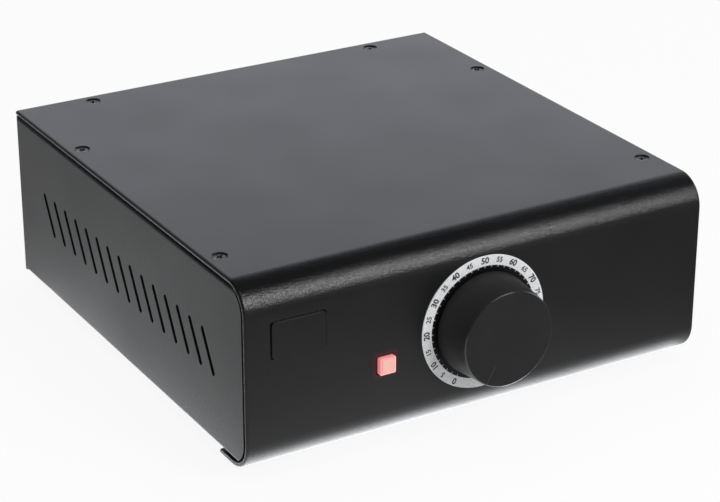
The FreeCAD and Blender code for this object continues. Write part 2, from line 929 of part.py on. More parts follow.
# pan-head screws driven upwards: heads under headLevel, shanks above it
def addUpScrews(body, spots, headLevel, head, headHeight, shank, length):
    padSpots(body, "XY", headLevel - headHeight, spots, disc(head), headHeight)
    padSpots(body, "XY", headLevel, spots, disc(shank), length)
    draw = lambda item, x, y: hexagon(item, x, y, s.socket_flats)
    level = headLevel - headHeight - s.cut_margin
    pocketSpots(body, "XY", level, spots, draw, headHeight / 2 + s.cut_margin)


# tapered rubber feet with a well for the screw
def buildFeet():
    body = newBody("feet")
    web = base - s.foot_web
    lean = (s.foot_top - s.foot_bottom) / 2 / s.foot_height
    taper = Size(-math.degrees(math.atan(float(lean))), f"(0 - atan({lean}) / 1 deg)")
    padSpots(body, "XY", 0, footSpots, disc(s.foot_bottom), s.foot_height, -taper)
    hole = disc(s.foot_screw_shank + 2 * s.screw_clearance)
    pocketSpots(body, "XY", web - s.cut_margin, footSpots, hole, s.foot_web + 2 * s.cut_margin)
    pocketSpots(body, "XY", -s.cut_margin, footSpots, disc(s.foot_well), web + s.cut_margin)


def buildFootScrews():
    body = newBody("foot_screws")
    length = s.foot_web + s.chassis_thickness + s.foot_nut_height + s.foot_screw_spare
    addUpScrews(
        body, footSpots, base - s.foot_web, s.foot_screw_head, s.foot_screw_head_height,
        s.foot_screw_shank, length)


def buildFloorNuts():
    body = newBody("floor_nuts")
    draw = nutShape(s.foot_nut_flats, s.foot_screw_shank + s.board_screw_fit)
    padSpots(body, "XY", deck, footSpots, draw, s.foot_nut_height)
    level = deck + s.earth_lug_thickness
    padSpots(body, "XY", level, [earthSpot], draw, s.foot_nut_height)


# dial, knob and rotary attenuator, drawn round the dial's axis with the panel face at y = 0

dialPlace = (0, front, dialZ)
panel = s.cover_thickness
plateBack = panel + s.bush_plate_thickness
gangBack = plateBack + s.gang_pitch * s.gang_count
tipY = -s.shaft_front
nutBack = -s.dial_plate_thickness - s.bush_washer_thickness
knobBack = -s.dial_plate_thickness - s.knob_gap


def buildDialPlate():
    body = newBody("dial_plate", dialPlace)
    item = newSketch(body, "XZ", -s.dial_plate_thickness)
    circle(item, 0, 0, s.dial_plate_diameter)
    circle(item, 0, 0, s.bush_diameter + s.bush_clearance)
    pad(body, item, s.dial_plate_thickness)


def buildKnob():
    turn = (FreeCAD.Vector(0, 1, 0), -s.knob_rest_turn)
    body = newBody("volume_knob", dialPlace, turn)
    radius = s.knob_diameter / 2
    base = s.knob_base_diameter / 2
    bore = (s.shaft_diameter + s.shaft_slack) / 2
    face = -s.knob_projection
    skirt = s.knob_skirt_diameter / 2
    skirtEnd = knobBack - s.knob_skirt_depth
    boreEnd = tipY - s.cut_margin
    item = newSketch(body, "XY")
    outline(item, [
        (0, face),
        (radius - s.knob_rim, face),
        (radius, face + s.knob_rim),
        (base, knobBack),
        (skirt, knobBack),
        (skirt, skirtEnd),
        (bore, skirtEnd),
        (bore, boreEnd),
        (0, boreEnd),
    ])
    revolve(body, item)
    item = newSketch(body, "XZ", face - s.cut_margin)
    rectangle(item, -s.pointer_width / 2, s.pointer_inner, s.pointer_width / 2, s.pointer_outer)
    pocket(body, item, s.pointer_depth + s.cut_margin)
    item = newSketch(body, "YZ", -base - s.cut_margin)
    circle(item, -s.grub_depth, 0, s.grub_diameter + s.board_screw_fit)
    pocket(body, item, base + s.cut_margin)


def buildGrubScrew():
    turn = (FreeCAD.Vector(0, 1, 0), -s.knob_rest_turn)
    body = newBody("knob_grub_screw", dialPlace, turn)
    outer = s.shaft_diameter / 2 + s.grub_length
    item = newSketch(body, "YZ", -outer)
    circle(item, -s.grub_depth, 0, s.grub_diameter)
    pad(body, item, s.grub_length)
    item = newSketch(body, "YZ", -outer - s.cut_margin)
    hexagon(item, -s.grub_depth, 0, s.grub_diameter / 2)
    pocket(body, item, s.grub_length / 2 + s.cut_margin)


def buildShaft():
    body = newBody("volume_shaft", dialPlace)
    item = newSketch(body, "XZ", tipY)
    circle(item, 0, 0, s.shaft_diameter)
    pad(body, item, gangBack - tipY)


def buildWipers():
    body = newBody("volume_wipers", dialPlace)
    play = (s.gang_rim_depth - s.wiper_thickness) / 2
    item = newSketch(body, "XZ", plateBack + play)
    circle(item, 0, 0, s.wiper_diameter)
    circle(item, 0, 0, s.shaft_diameter)
    wiper = pad(body, item, s.wiper_thickness)
    repeat(body, [wiper], "Y_Axis", s.gang_pitch, s.gang_count)


def tieHoles(item):
    for x, y in tieSpots:
        circle(item, x, y, s.tie_diameter + s.tie_clearance)


def buildBush():
    body = newBody("volume_bush", dialPlace)
    bore = s.shaft_diameter + s.shaft_fit
    item = newSketch(body, "XZ", -s.bush_front)
    circle(item, 0, 0, s.bush_diameter)
    circle(item, 0, 0, bore)
    pad(body, item, s.bush_front + panel)
    item = newSketch(body, "XZ", panel)
    centredRectangle(item, 0, 0, s.gang_side, s.gang_side)
    circle(item, 0, 0, bore)
    tieHoles(item)
    pad(body, item, s.bush_plate_thickness)


# one gang is a rim round its wiper and a floor behind it, with three tags on its right side
def buildGangs():
    body = newBody("volume_gangs", dialPlace)
    item = newSketch(body, "XZ", plateBack)
    centredRectangle(item, 0, 0, s.gang_side, s.gang_side)
    circle(item, 0, 0, s.gang_cavity)
    tieHoles(item)
    rim = pad(body, item, s.gang_rim_depth)
    item = newSketch(body, "XZ", plateBack + s.gang_rim_depth)
    centredRectangle(item, 0, 0, s.gang_side, s.gang_side)
    circle(item, 0, 0, s.gang_shaft_hole)
    tieHoles(item)
    gangFloor = pad(body, item, s.gang_floor)
    item = newSketch(body, "XZ", plateBack + s.gang_rim_depth)
    edge = s.gang_side / 2
    for step in (-1, 0, 1):
        centre = step * s.tag_spacing
        low = centre - s.tag_width / 2
        rectangle(item, edge, low, edge + s.tag_length, low + s.tag_width)
    tags = pad(body, item, s.tag_width)
    repeat(body, [rim, gangFloor, tags], "Y_Axis", s.gang_pitch, s.gang_count)


def buildTieBolts():
    body = newBody("volume_tie_bolts", dialPlace)
    end = plateBack + s.gang_pitch * (s.gang_count - 1) + s.gang_rim_depth + s.gang_floor
    padSpots(body, "XZ", end, tieSpots, disc(s.tie_head), s.tie_head_height)
    padSpots(body, "XZ", panel, tieSpots, disc(s.tie_diameter), end - panel)


def buildBushNut():
    body = newBody("volume_nut", dialPlace)
    item = newSketch(body, "XZ", nutBack - s.bush_nut_height)
    hexagon(item, 0, 0, s.bush_nut_flats)
    circle(item, 0, 0, s.bush_diameter + s.board_screw_fit)
    pad(body, item, s.bush_nut_height)


def buildBushWasher():
    body = newBody("volume_washer", dialPlace)
    item = newSketch(body, "XZ", nutBack)
    circle(item, 0, 0, s.bush_washer_diameter)
    circle(item, 0, 0, s.bush_diameter + s.bush_clearance)
    pad(body, item, s.bush_washer_thickness)


def buildRiserBoard():
    body = newBody("volume_riser_board")
    item = newSketch(body, "YZ", s.gang_side / 2 + s.tag_length)
    low = boardTop + s.riser_lift
    rectangle(item, front + plateBack, low, front + gangBack, dialZ + s.riser_above)
    pad(body, item, s.riser_thickness)


# mute button

mutePlace = (-s.mute_x, front, muteZ)
switchBack = s.switch_front + s.switch_depth
capBack = s.mute_cap_depth


def square(item, side, corner=None):
    centredRectangle(item, 0, 0, side, side, corner)


def buildMuteCap():
    body = newBody("mute_button", mutePlace)
    item = newSketch(body, "XZ", -s.mute_projection)
    square(item, s.mute_side, s.mute_corner)
    pad(body, item, s.mute_projection + capBack)
    item = newSketch(body, "XZ", -s.mute_projection - s.mute_step_height)
    square(item, s.mute_step_side, s.mute_corner)
    pad(body, item, s.mute_step_height)
    item = newSketch(body, "XZ", capBack - s.plunger_socket)
    square(item, s.plunger_side + s.plunger_fit)
    pocket(body, item, s.plunger_socket + s.cut_margin)


def buildPlunger():
    body = newBody("mute_plunger", mutePlace)
    item = newSketch(body, "XZ", capBack - s.plunger_socket)
    square(item, s.plunger_side)
    pad(body, item, s.plunger_socket + (s.switch_front - capBack) + s.plunger_reach)


def buildMuteSwitch():
    body = newBody("mute_switch", mutePlace)
    item = newSketch(body, "XZ", s.switch_front)
    square(item, s.switch_side)
    pad(body, item, s.switch_depth)
    item = newSketch(body, "XZ", s.switch_front - s.cut_margin)
    square(item, s.plunger_side + 2 * s.plunger_slack)
    deep = s.plunger_reach + s.mute_travel + s.plunger_slack
    pocket(body, item, deep + s.cut_margin)


def buildMuteSpring():
    body = doc.addObject("Part::Feature", "mute_spring")
    wire = float(s.spring_wire)
    radius = (float(s.spring_diameter) - wire) / 2
    inset = wire / 2 + float(s.spring_end_gap)
    length = float(s.switch_front) - float(s.mute_cap_depth) - 2 * inset
    helix = Part.makeHelix(length / float(s.spring_turns), length, radius)
    section = Part.Wire(Part.makeCircle(
        wire / 2, FreeCAD.Vector(radius, 0, 0), FreeCAD.Vector(0, 1, 0)))
    coil = Part.Wire(helix.Edges).makePipeShell([section], True, True)
    spot = FreeCAD.Vector(*[float(amount) for amount in mutePlace])
    spot.y += float(s.mute_cap_depth) + inset
    body.Shape = coil
    body.Placement = FreeCAD.Placement(spot, FreeCAD.Rotation(FreeCAD.Vector(1, 0, 0), -90))
    parts.append(body)


def buildMuteLamps():
    body = newBody("mute_lamps", mutePlace)
    spots = [(-s.lamp_reach, 0), (s.lamp_reach, 0)]
    shape = block(s.lamp_size, s.lamp_size)
    padSpots(body, "XZ", s.switch_front - s.lamp_height, spots, shape, s.lamp_height)


# control board behind the front

controlY = front + switchBack
controlX = s.control_shift - s.mute_x
controlZ = muteZ + s.control_lift
controlHoles = [
    (controlX + across * (s.control_width / 2 - s.control_hole_inset),
     controlZ + upward * (s.control_height / 2 - s.control_hole_inset))
    for across in (-1, 1) for upward in (-1, 1)]
boardHole = s.board_screw_shank + 2 * s.screw_clearance


def buildControlBoard():
    body = newBody("control_board")
    item = newSketch(body, "XZ", controlY)
    centredRectangle(item, controlX, controlZ, s.control_width, s.control_height)
    for x, z in controlHoles:
        circle(item, x, z, boardHole)
    pad(body, item, s.board_thickness)


# ribbon cable

ribbonZ = controlZ - s.ribbon_drop
headerWidth = s.ribbon_width + 2 * s.header_overhang
headerBack = controlY + s.board_thickness + s.header_length
ribbonDown = headerBack + s.ribbon_run + s.ribbon_bend


def buildRibbon():
    body = newBody("ribbon_cable")
    thick = s.ribbon_thickness
    bend = s.ribbon_bend
    half = thick / 2
    top = ribbonZ + half
    low = ribbonZ - half
    turnY = headerBack + s.ribbon_run
    end = boardTop + s.header_length
    item = newSketch(body, "YZ", controlX - s.ribbon_width / 2)
    outline(item, [
        (headerBack, low),
        (turnY, low, bend - half, -1),
        (turnY + bend - half, ribbonZ - bend),
        (turnY + bend - half, end),
        (turnY + bend + half, end),
        (turnY + bend + half, ribbonZ - bend, bend + half, 1),
        (turnY, top),
        (headerBack, top),
    ])
    pad(body, item, s.ribbon_width)


def buildHeaders():
    body = newBody("board_headers")
    shape = block(headerWidth, s.header_side)
    start = controlY + s.board_thickness
    padSpots(body, "XZ", start, [(controlX, ribbonZ)], shape, s.header_length)
    padSpots(body, "XY", boardTop, [(controlX, ribbonDown)], shape, s.header_length)
    left = s.gang_side / 2 + s.tag_length - s.riser_thickness / 2
    item = newSketch(body, "XY", boardTop)
    rectangle(
        item, left, front + s.riser_header_start, left + 2 * s.riser_thickness,
        front + s.riser_header_end)
    pad(body, item, s.riser_lift)


# main board

boardLow = deck + s.standoff_height
boardTop = boardLow + s.board_thickness
boardLeft = s.chassis_thickness + s.board_wall_gap - wall
boardRight = coilX - s.coil_diameter / 2 - s.board_coil_gap
boardFront = front + s.board_front_back
boardRear = rearInner - s.board_rear_gap
boardHoles = [
    (x, y)
    for x in (boardLeft + s.board_hole_inset, boardRight - s.board_hole_inset)
    for y in (boardFront + s.board_hole_inset, (boardFront + boardRear) / 2,
              boardRear - s.board_hole_inset - s.rear_flange_depth)]


def buildMainBoard():
    body = newBody("main_board")
    item = newSketch(body, "XY", boardLow)
    rectangle(item, boardLeft, boardFront, boardRight, boardRear)
    for x, y in boardHoles:
        circle(item, x, y, boardHole)
    pad(body, item, s.board_thickness)


def buildBoardStandoffs():
    body = newBody("board_standoffs")
    pillar = disc(s.standoff_diameter)
    start = front + s.cover_thickness
    padSpots(body, "XY", deck, boardHoles, pillar, s.standoff_height)
    padSpots(body, "XZ", start, controlHoles, pillar, controlY - start)
    hole = disc(s.board_screw_shank + s.board_screw_fit)
    deep = s.board_screw_bite + s.screw_clearance
    pocketSpots(body, "XY", boardLow - deep, boardHoles, hole, deep + s.cut_margin)
    pocketSpots(body, "XZ", controlY - deep, controlHoles, hole, deep + s.cut_margin)


def buildBoardScrews():
    body = newBody("board_screws")
    headHeight = s.board_screw_head_height
    length = s.board_screw_bite + s.board_thickness
    draw = lambda item, x, y: hexagon(item, x, y, s.socket_flats)
    for plane, level, spots in (
            ("XY", boardTop, boardHoles), ("XZ", controlY + s.board_thickness, controlHoles)):
        padSpots(body, plane, level, spots, disc(s.board_screw_head), headHeight)
        padSpots(body, plane, level - length, spots, disc(s.board_screw_shank), length)
        pocketSpots(body, plane, level + headHeight / 2, spots, draw, headHeight)


def grid(inset, back, stepX, stepY, columns, rows):
    return [
        (boardLeft + inset + stepX * column, front + back + stepY * line)
        for column in range(columns) for line in range(rows)]


def buildRelays():
    body = newBody("relays")
    spots = grid(
        s.relay_inset, s.relay_back, s.relay_pitch_x, s.relay_pitch_y, sizes["relay_columns"],
        sizes["relay_rows"])
    shape = block(s.relay_length, s.relay_width)
    padSpots(body, "XY", boardTop, spots, shape, s.relay_height)


def buildCapacitors():
    body = newBody("capacitors")
    spots = grid(
        s.capacitor_inset, s.capacitor_back, s.capacitor_pitch, 0, sizes["capacitor_count"], 1)
    padSpots(body, "XY", boardTop, spots, disc(s.capacitor_diameter), s.capacitor_height)
    level = boardTop + s.capacitor_height - s.capacitor_bead / 2
    draw = disc(s.capacitor_diameter - 2 * s.capacitor_bead)
    pocketSpots(body, "XY", level, spots, draw, s.capacitor_bead)


# a bent plate open to the front, with the regulator on its inner face
def buildHeatsinks():
    body = newBody("heatsinks")
    item = newSketch(body, "XY", boardTop)
    for x, y in sinkSpots:
        half = s.heatsink_width / 2
        sheetWidth = s.heatsink_sheet
        outline(item, [
            (x - half, y - s.heatsink_wing),
            (x - half + sheetWidth, y - s.heatsink_wing),
            (x - half + sheetWidth, y - sheetWidth),
            (x + half - sheetWidth, y - sheetWidth),
            (x + half - sheetWidth, y - s.heatsink_wing),
            (x + half, y - s.heatsink_wing),
            (x + half, y),
            (x - half, y),
        ])
    pad(body, item, s.heatsink_height)


def buildRegulators():
    body = newBody("regulators")
    thick = s.regulator_thickness
    legWidth = s.tag_width
    spots = [(x, y - s.heatsink_sheet - thick / 2) for x, y in sinkSpots]
    shape = block(s.regulator_width, thick)
    level = boardTop + s.regulator_lift
    padSpots(body, "XY", level, spots, shape, s.regulator_height)
    legs = [(x + side * s.regulator_width / 4, y) for x, y in spots for side in (-1, 0, 1)]
    padSpots(body, "XY", boardTop, legs, block(legWidth, legWidth), s.regulator_lift)


def buildChips():
    body = newBody("board_chips")
    spots = grid(
        s.chip_inset, s.chip_back, s.chip_pitch, s.chip_pitch, sizes["chip_columns"],
        sizes["chip_rows"])
    shape = block(s.chip_length, s.chip_width)
    padSpots(body, "XY", boardTop, spots, shape, s.chip_height)


def buildMainsTerminal():
    body = newBody("power_terminal")
    x, y = terminalSpot
    shape = block(s.terminal_width, s.terminal_length)
    padSpots(body, "XY", boardTop, [terminalSpot], shape, s.terminal_height)
    item = newSketch(body, "YZ", x + s.terminal_width / 2 - s.lead_diameter)
    for step in (-1, 0, 1):
        spot = y + step * s.terminal_length / 3
        circle(item, spot, terminalZ, s.lead_diameter + s.board_screw_fit)
    pocket(body, item, s.lead_diameter + s.cut_margin)


sinkSpots = [
    (boardLeft + s.heatsink_inset + s.heatsink_pitch * step + s.heatsink_width / 2,
     front + s.heatsink_back + s.heatsink_wing)
    for step in range(sizes["heatsink_count"])]
terminalSpot = (boardRight - s.terminal_inset, coilY)
terminalZ = boardTop + s.terminal_height / 2


# toroidal transformer

lowPad = deck
coilLow = lowPad + s.pad_thickness
coilHigh = coilLow + s.coil_height
highPad = coilHigh + s.pad_thickness
dishHigh = highPad + s.dish_thickness
coilPlace = (coilX, coilY, 0)


def buildCoil():
    body = newBody("transformer", coilPlace)
    inner = s.coil_hole / 2
    outer = s.coil_diameter / 2
    corner = s.coil_corner
    item = newSketch(body, "XZ")
    rectangle(item, inner, coilLow, outer, coilHigh, corner)
    revolve(body, item)


def buildPads():
    body = newBody("transformer_pads", coilPlace)
    item = newSketch(body, "XY", lowPad)
    circle(item, 0, 0, s.coil_diameter)
    circle(item, 0, 0, s.coil_bolt + 2 * s.screw_clearance)
    pad(body, item, s.pad_thickness)
    item = newSketch(body, "XY", coilHigh)
    circle(item, 0, 0, s.dish_diameter)
    circle(item, 0, 0, s.coil_bolt + 2 * s.screw_clearance)
    pad(body, item, s.pad_thickness)


def buildDish():
    body = newBody("transformer_dish", coilPlace)
    item = newSketch(body, "XY", highPad)
    circle(item, 0, 0, s.dish_diameter)
    circle(item, 0, 0, s.coil_bolt + 2 * s.screw_clearance)
    pad(body, item, s.dish_thickness)


def buildCoilBolt():
    body = newBody("transformer_bolt", coilPlace)
    item = newSketch(body, "XY", base - s.coil_bolt_head_height)
    circle(item, 0, 0, s.coil_bolt_head)
    pad(body, item, s.coil_bolt_head_height)
    item = newSketch(body, "XY", base)
    circle(item, 0, 0, s.coil_bolt)
    pad(body, item, dishHigh + s.coil_nut_height + s.coil_bolt_spare - base)


def buildCoilNut():
    body = newBody("transformer_nut", coilPlace)
    item = newSketch(body, "XY", dishHigh)
    hexagon(item, 0, 0, s.coil_nut_flats)
    circle(item, 0, 0, s.coil_bolt + s.board_screw_fit)
    pad(body, item, s.coil_nut_height)


# mains inlet with its fuse drawer

powerX = halfWidth - s.power_side_inset
powerZ = crown - s.power_drop
inletX = halfWidth - s.inlet_side_inset
inletZ = powerZ - s.inlet_below_power
inletHalf = s.inlet_cavity_width / 2 + s.inlet_wall
inletHigh = inletZ + s.inlet_cavity_height / 2 + s.inlet_wall
cavityLow = inletZ - s.inlet_cavity_height / 2
drawerSlotHigh = cavityLow - s.inlet_web
drawerSlotLow = drawerSlotHigh - s.drawer_height - 2 * s.drawer_gap
inletLow = drawerSlotLow - s.inlet_wall
inletMiddle = (inletLow + inletHigh) / 2
inletFace = rear + s.inlet_flange_thickness
inletBack = rear - s.inlet_depth
cavityFloor = inletFace - s.inlet_cavity_depth
bladeSpots = [
    (inletX - s.blade_spacing / 2, inletZ - s.blade_drop),
    (inletX + s.blade_spacing / 2, inletZ - s.blade_drop)]
earthBlade = (inletX, inletZ + s.blade_drop)


def buildInlet():
    body = newBody("inlet_housing")
    item = newSketch(body, "XZ", inletBack)
    rectangle(item, inletX - inletHalf, inletLow, inletX + inletHalf, inletHigh)
    pad(body, item, inletFace - inletBack)
    item = newSketch(body, "XZ", rear)
    flange = s.inlet_flange_width / 2
    margin = s.inlet_flange_margin
    rectangle(
        item, inletX - flange, inletLow - margin, inletX + flange, inletHigh + margin, margin)
    for side in (-1, 1):
        circle(item, inletX + side * s.inlet_screw_x, inletMiddle, screwHole)
    pad(body, item, s.inlet_flange_thickness)
    # the socket's two upper corners are cut off, on the earth blade's side
    half = s.inlet_cavity_width / 2
    high = inletZ + s.inlet_cavity_height / 2
    cut = s.inlet_corner_cut
    item = newSketch(body, "XZ", cavityFloor)
    outline(item, [
        (inletX - half, cavityLow),
        (inletX + half, cavityLow),
        (inletX + half, high - cut),
        (inletX + half - cut, high),
        (inletX - half + cut, high),
        (inletX - half, high - cut),
    ])
    pocket(body, item, s.inlet_cavity_depth + s.cut_margin)
    slotHalf = s.drawer_width / 2 + s.drawer_gap
    item = newSketch(body, "XZ", inletFace - s.drawer_depth - s.drawer_gap)
    rectangle(
        item, inletX - slotHalf, drawerSlotLow, inletX + slotHalf, drawerSlotHigh)
    pocket(body, item, s.drawer_depth + s.drawer_gap + s.cut_margin)
    item = newSketch(body, "XZ", inletBack - s.cut_margin)
    fit = 2 * s.blade_fit
    for x, z in bladeSpots + [earthBlade]:
        centredRectangle(item, x, z, s.blade_thickness + fit, s.blade_height + fit)
    pocket(body, item, cavityFloor - inletBack + 2 * s.cut_margin)


def buildBlades():
    body = newBody("inlet_blades")
    shape = block(s.blade_thickness, s.blade_height)
    tabShape = block(s.tab_thickness, s.blade_height)
    tip = inletFace - s.blade_recess
    padSpots(body, "XZ", inletBack, bladeSpots, shape, tip - inletBack)
    padSpots(body, "XZ", inletBack, [earthBlade], shape, tip + s.earth_lead - inletBack)
    spots = bladeSpots + [earthBlade]
    padSpots(body, "XZ", inletBack - s.tab_length, spots, tabShape, s.tab_length)


def buildRearPanelScrews():
    body = newBody("rear_panel_screws")
    spots = [(inletX + side * s.inlet_screw_x, inletMiddle) for side in (-1, 1)]
    headHeight = s.panel_screw_head_height
    padSpots(body, "XZ", inletFace, spots, disc(s.cover_screw_head), headHeight)
    length = s.inlet_flange_thickness + s.rear_thickness + s.cover_screw_shank
    shank = disc(s.cover_screw_shank)
    padSpots(body, "XZ", inletFace - length, spots, shank, length)
    ears = [
        (place.x + side * place.ear_spacing / 2, place.z)
        for place in slideSwitches for side in (-1, 1)]
    padSpots(body, "XZ", rear, ears, disc(s.panel_screw_head), headHeight)
    length = s.rear_thickness + s.switch_ear_thickness + s.panel_screw_shank
    padSpots(body, "XZ", rear - length, ears, disc(s.panel_screw_shank), length)
    draw = lambda item, x, z: hexagon(item, x, z, s.socket_flats)
    pocketSpots(body, "XZ", inletFace + headHeight / 2, spots, draw, headHeight)
    pocketSpots(body, "XZ", rear + headHeight / 2, ears, draw, headHeight)
    addUpScrews(
        body, rearScrews, base, s.rear_screw_head, s.rear_screw_head_height,
        s.rear_screw_shank, s.rear_screw_length)


fuseY = inletFace - s.fuse_from_front - s.fuse_diameter / 2
drawerZ = (drawerSlotLow + drawerSlotHigh) / 2


# a tray with a trough for the fuse and a lip to pull
def buildFuseDrawer():
    body = newBody("fuse_drawer")
    half = s.drawer_width / 2
    low = drawerZ - s.drawer_height / 2
    item = newSketch(body, "XZ", inletFace - s.drawer_depth)
    rectangle(item, inletX - half, low, inletX + half, low + s.drawer_height)
    pad(body, item, s.drawer_depth)
    item = newSketch(body, "XZ", inletFace)
    rectangle(item, inletX - half / 2, low, inletX + half / 2, low + s.drawer_lip_height)
    pad(body, item, s.drawer_lip)
    trough = s.fuse_diameter + 2 * s.fuse_gap
    item = newSketch(body, "XY", drawerZ - trough / 2)
    centredRectangle(item, inletX, fuseY, s.fuse_length + 2 * s.fuse_gap, trough)
    pocket(body, item, s.drawer_height)


def buildFuse():
    body = newBody("fuse")
    start = inletX - s.fuse_length / 2
    item = newSketch(body, "YZ", start)
    circle(item, fuseY, drawerZ, s.fuse_diameter)
    pad(body, item, s.fuse_length)
    item = newSketch(body, "YZ", start + s.fuse_cap_length)
    circle(item, fuseY, drawerZ, s.fuse_diameter + s.cut_margin)
    circle(item, fuseY, drawerZ, s.fuse_diameter - s.fuse_gap)
    pocket(body, item, s.fuse_length - 2 * s.fuse_cap_length)


# power switch

powerFace = rear + s.power_bezel_thickness
pivotY = powerFace - s.rocker_pivot_depth
powerTerminals = [
    (powerX + side * s.power_body_width / 4, powerZ + level * s.power_body_height / 4)
    for side in (-1, 1) for level in (-1, 1)]


def buildPowerBody():
    body = newBody("power_switch_body")
    item = newSketch(body, "XZ", rear)
    width = s.power_bezel_width
    centredRectangle(item, powerX, powerZ, width, s.power_bezel_height, s.power_bezel_corner)
    pad(body, item, s.power_bezel_thickness)
    item = newSketch(body, "XZ", rear - s.power_body_depth)
    centredRectangle(item, powerX, powerZ, s.power_body_width, s.power_body_height)
    pad(body, item, s.power_body_depth)
    item = newSketch(body, "XZ", powerFace - s.power_well_depth)
    centredRectangle(item, powerX, powerZ, s.power_well_width, s.power_well_height)
    pocket(body, item, s.power_well_depth + s.cut_margin)
    # pivot holes
    reach = s.power_well_width / 2 - s.rocker_gap + s.rocker_pin_length + s.rocker_gap / 2
    item = newSketch(body, "YZ", powerX - reach)
    circle(item, pivotY, powerZ, s.rocker_pin + 2 * s.rocker_pin_fit)
    pocket(body, item, 2 * reach)
    item = newSketch(body, "XZ", rear - s.power_body_depth - s.tab_length)
    for x, z in powerTerminals:
        centredRectangle(item, x, z, s.blade_height, s.tab_thickness)
    pad(body, item, s.tab_length)


# a see-saw that rests on its upper end
def buildRocker():
    place = (powerX, pivotY, powerZ)
    body = newBody("power_rocker", place, (FreeCAD.Vector(1, 0, 0), s.rocker_tilt))
    half = s.power_well_width / 2 - s.rocker_gap
    lift = s.rocker_pivot_depth
    end = s.rocker_half_height
    root = s.rocker_root
    item = newSketch(body, "YZ", -half)
    outline(item, [
        (lift - root, -root),
        (0, -end),
        (lift + s.rocker_tip, -end),
        (lift + s.rocker_valley, 0),
        (lift + s.rocker_tip, end),
        (0, end),
        (lift - root, root),
    ])
    pad(body, item, 2 * half)
    reach = half + s.rocker_pin_length
    item = newSketch(body, "YZ", -reach)
    circle(item, 0, 0, s.rocker_pin)
    pad(body, item, 2 * reach)


# slide switches

def slideSwitch(name, prefix, z):
    values = {
        key[len(prefix):]: getattr(s, key) for key in sizes if key.startswith(prefix)}
    place = SimpleNamespace(name=name, z=z, **values)
    place.x = halfWidth - place.side_inset
    place.ear_spacing = place.body_width + s.switch_ear
    return place


socketZ = base + s.socket_z
slideSwitches = [
    slideSwitch("voltage_selector", "selector_", crown - s.selector_drop),
    slideSwitch("ground_lift", "lift_", socketZ + s.lift_above_sockets)]
panelScrewHole = s.panel_screw_shank + 2 * s.screw_clearance


# a box behind the panel with two ears, a slot for the slider and pins at the back
def buildSlideBody(place):
    body = newBody(place.name + "_body")
    back = rearInner - place.body_depth
    item = newSketch(body, "XZ", back)
    centredRectangle(item, place.x, place.z, place.body_width, place.body_height)
    pad(body, item, place.body_depth)
    item = newSketch(body, "XZ", rearInner - s.switch_ear_thickness)
    earWidth = place.ear_spacing + s.switch_ear
    centredRectangle(item, place.x, place.z, earWidth, place.body_height)
    for side in (-1, 1):
        spot = place.x + side * place.ear_spacing / 2
        circle(item, spot, place.z, s.panel_screw_shank + s.board_screw_fit)
    pad(body, item, s.switch_ear_thickness)
    item = newSketch(body, "XZ", rearInner - s.slider_thickness - 2 * s.slider_gap)
    wellWidth = place.body_width - 2 * s.slider_wall
    wellHeight = place.body_height - 2 * s.slider_wall
    centredRectangle(item, place.x, place.z, wellWidth, wellHeight)
    pocket(body, item, s.slider_thickness + 2 * s.slider_gap + s.cut_margin)
    item = newSketch(body, "XZ", back - s.switch_pin_length)
    for step in (-1, 0, 1):
        spot = place.x + step * place.body_width / 4
        centredRectangle(item, spot, place.z, s.switch_pin_width, s.switch_pin_width)
    pad(body, item, s.switch_pin_length)


# the slider rests at its left end and carries a lever out through the panel
def buildSlider(place):
    body = newBody(place.name + "_slider")
    x = place.x - place.travel / 2
    blockWidth = place.body_width - 2 * s.slider_wall - place.travel - 2 * s.slider_gap
    blockHeight = place.body_height - 2 * s.slider_wall - 2 * s.slider_gap
    back = rearInner - s.slider_thickness - s.slider_gap
    item = newSketch(body, "XZ", back)
    centredRectangle(item, x, place.z, blockWidth, blockHeight)
    pad(body, item, s.slider_thickness)
    item = newSketch(body, "XZ", rearInner - s.slider_gap)
    centredRectangle(item, x, place.z, place.lever_width, place.lever_height)
    pad(body, item, s.slider_gap + s.rear_thickness + place.lever_tip)


# 25-way sockets

socketStart = s.socket_side_inset - halfWidth
socketPlaces = [socketStart, socketStart + s.socket_pitch]
jackHole = s.jackscrew_shank + 2 * s.screw_clearance


# a D outline, wider at the top
def dOutline(item, x, width, height):
    lean = height * slope(s.socket_shell_angle)
    half = width / 2
    outline(item, [
        (x - half + lean, socketZ - height / 2),
        (x + half - lean, socketZ - height / 2),
        (x + half, socketZ + height / 2),
        (x - half, socketZ + height / 2),
    ])


def buildSocketShells():
    body = newBody("socket_shells")
    wallGrow = 2 * s.socket_shell_wall
    back = rearInner - s.socket_flange_thickness
    item = newSketch(body, "XZ", back)
    for x in socketPlaces:
        centredRectangle(item, x, socketZ, s.socket_flange_width, s.socket_flange_height)
        dOutline(item, x, s.socket_shell_width, s.socket_shell_height)
        for side in (-1, 1):
            circle(item, x + side * s.jack_spacing / 2, socketZ, jackHole)
    pad(body, item, s.socket_flange_thickness)
    item = newSketch(body, "XZ", rearInner)
    for x in socketPlaces:
        width = s.socket_shell_width + wallGrow
        dOutline(item, x, width, s.socket_shell_height + wallGrow)
        dOutline(item, x, s.socket_shell_width, s.socket_shell_height)
    pad(body, item, s.rear_thickness + s.socket_shell_projection)


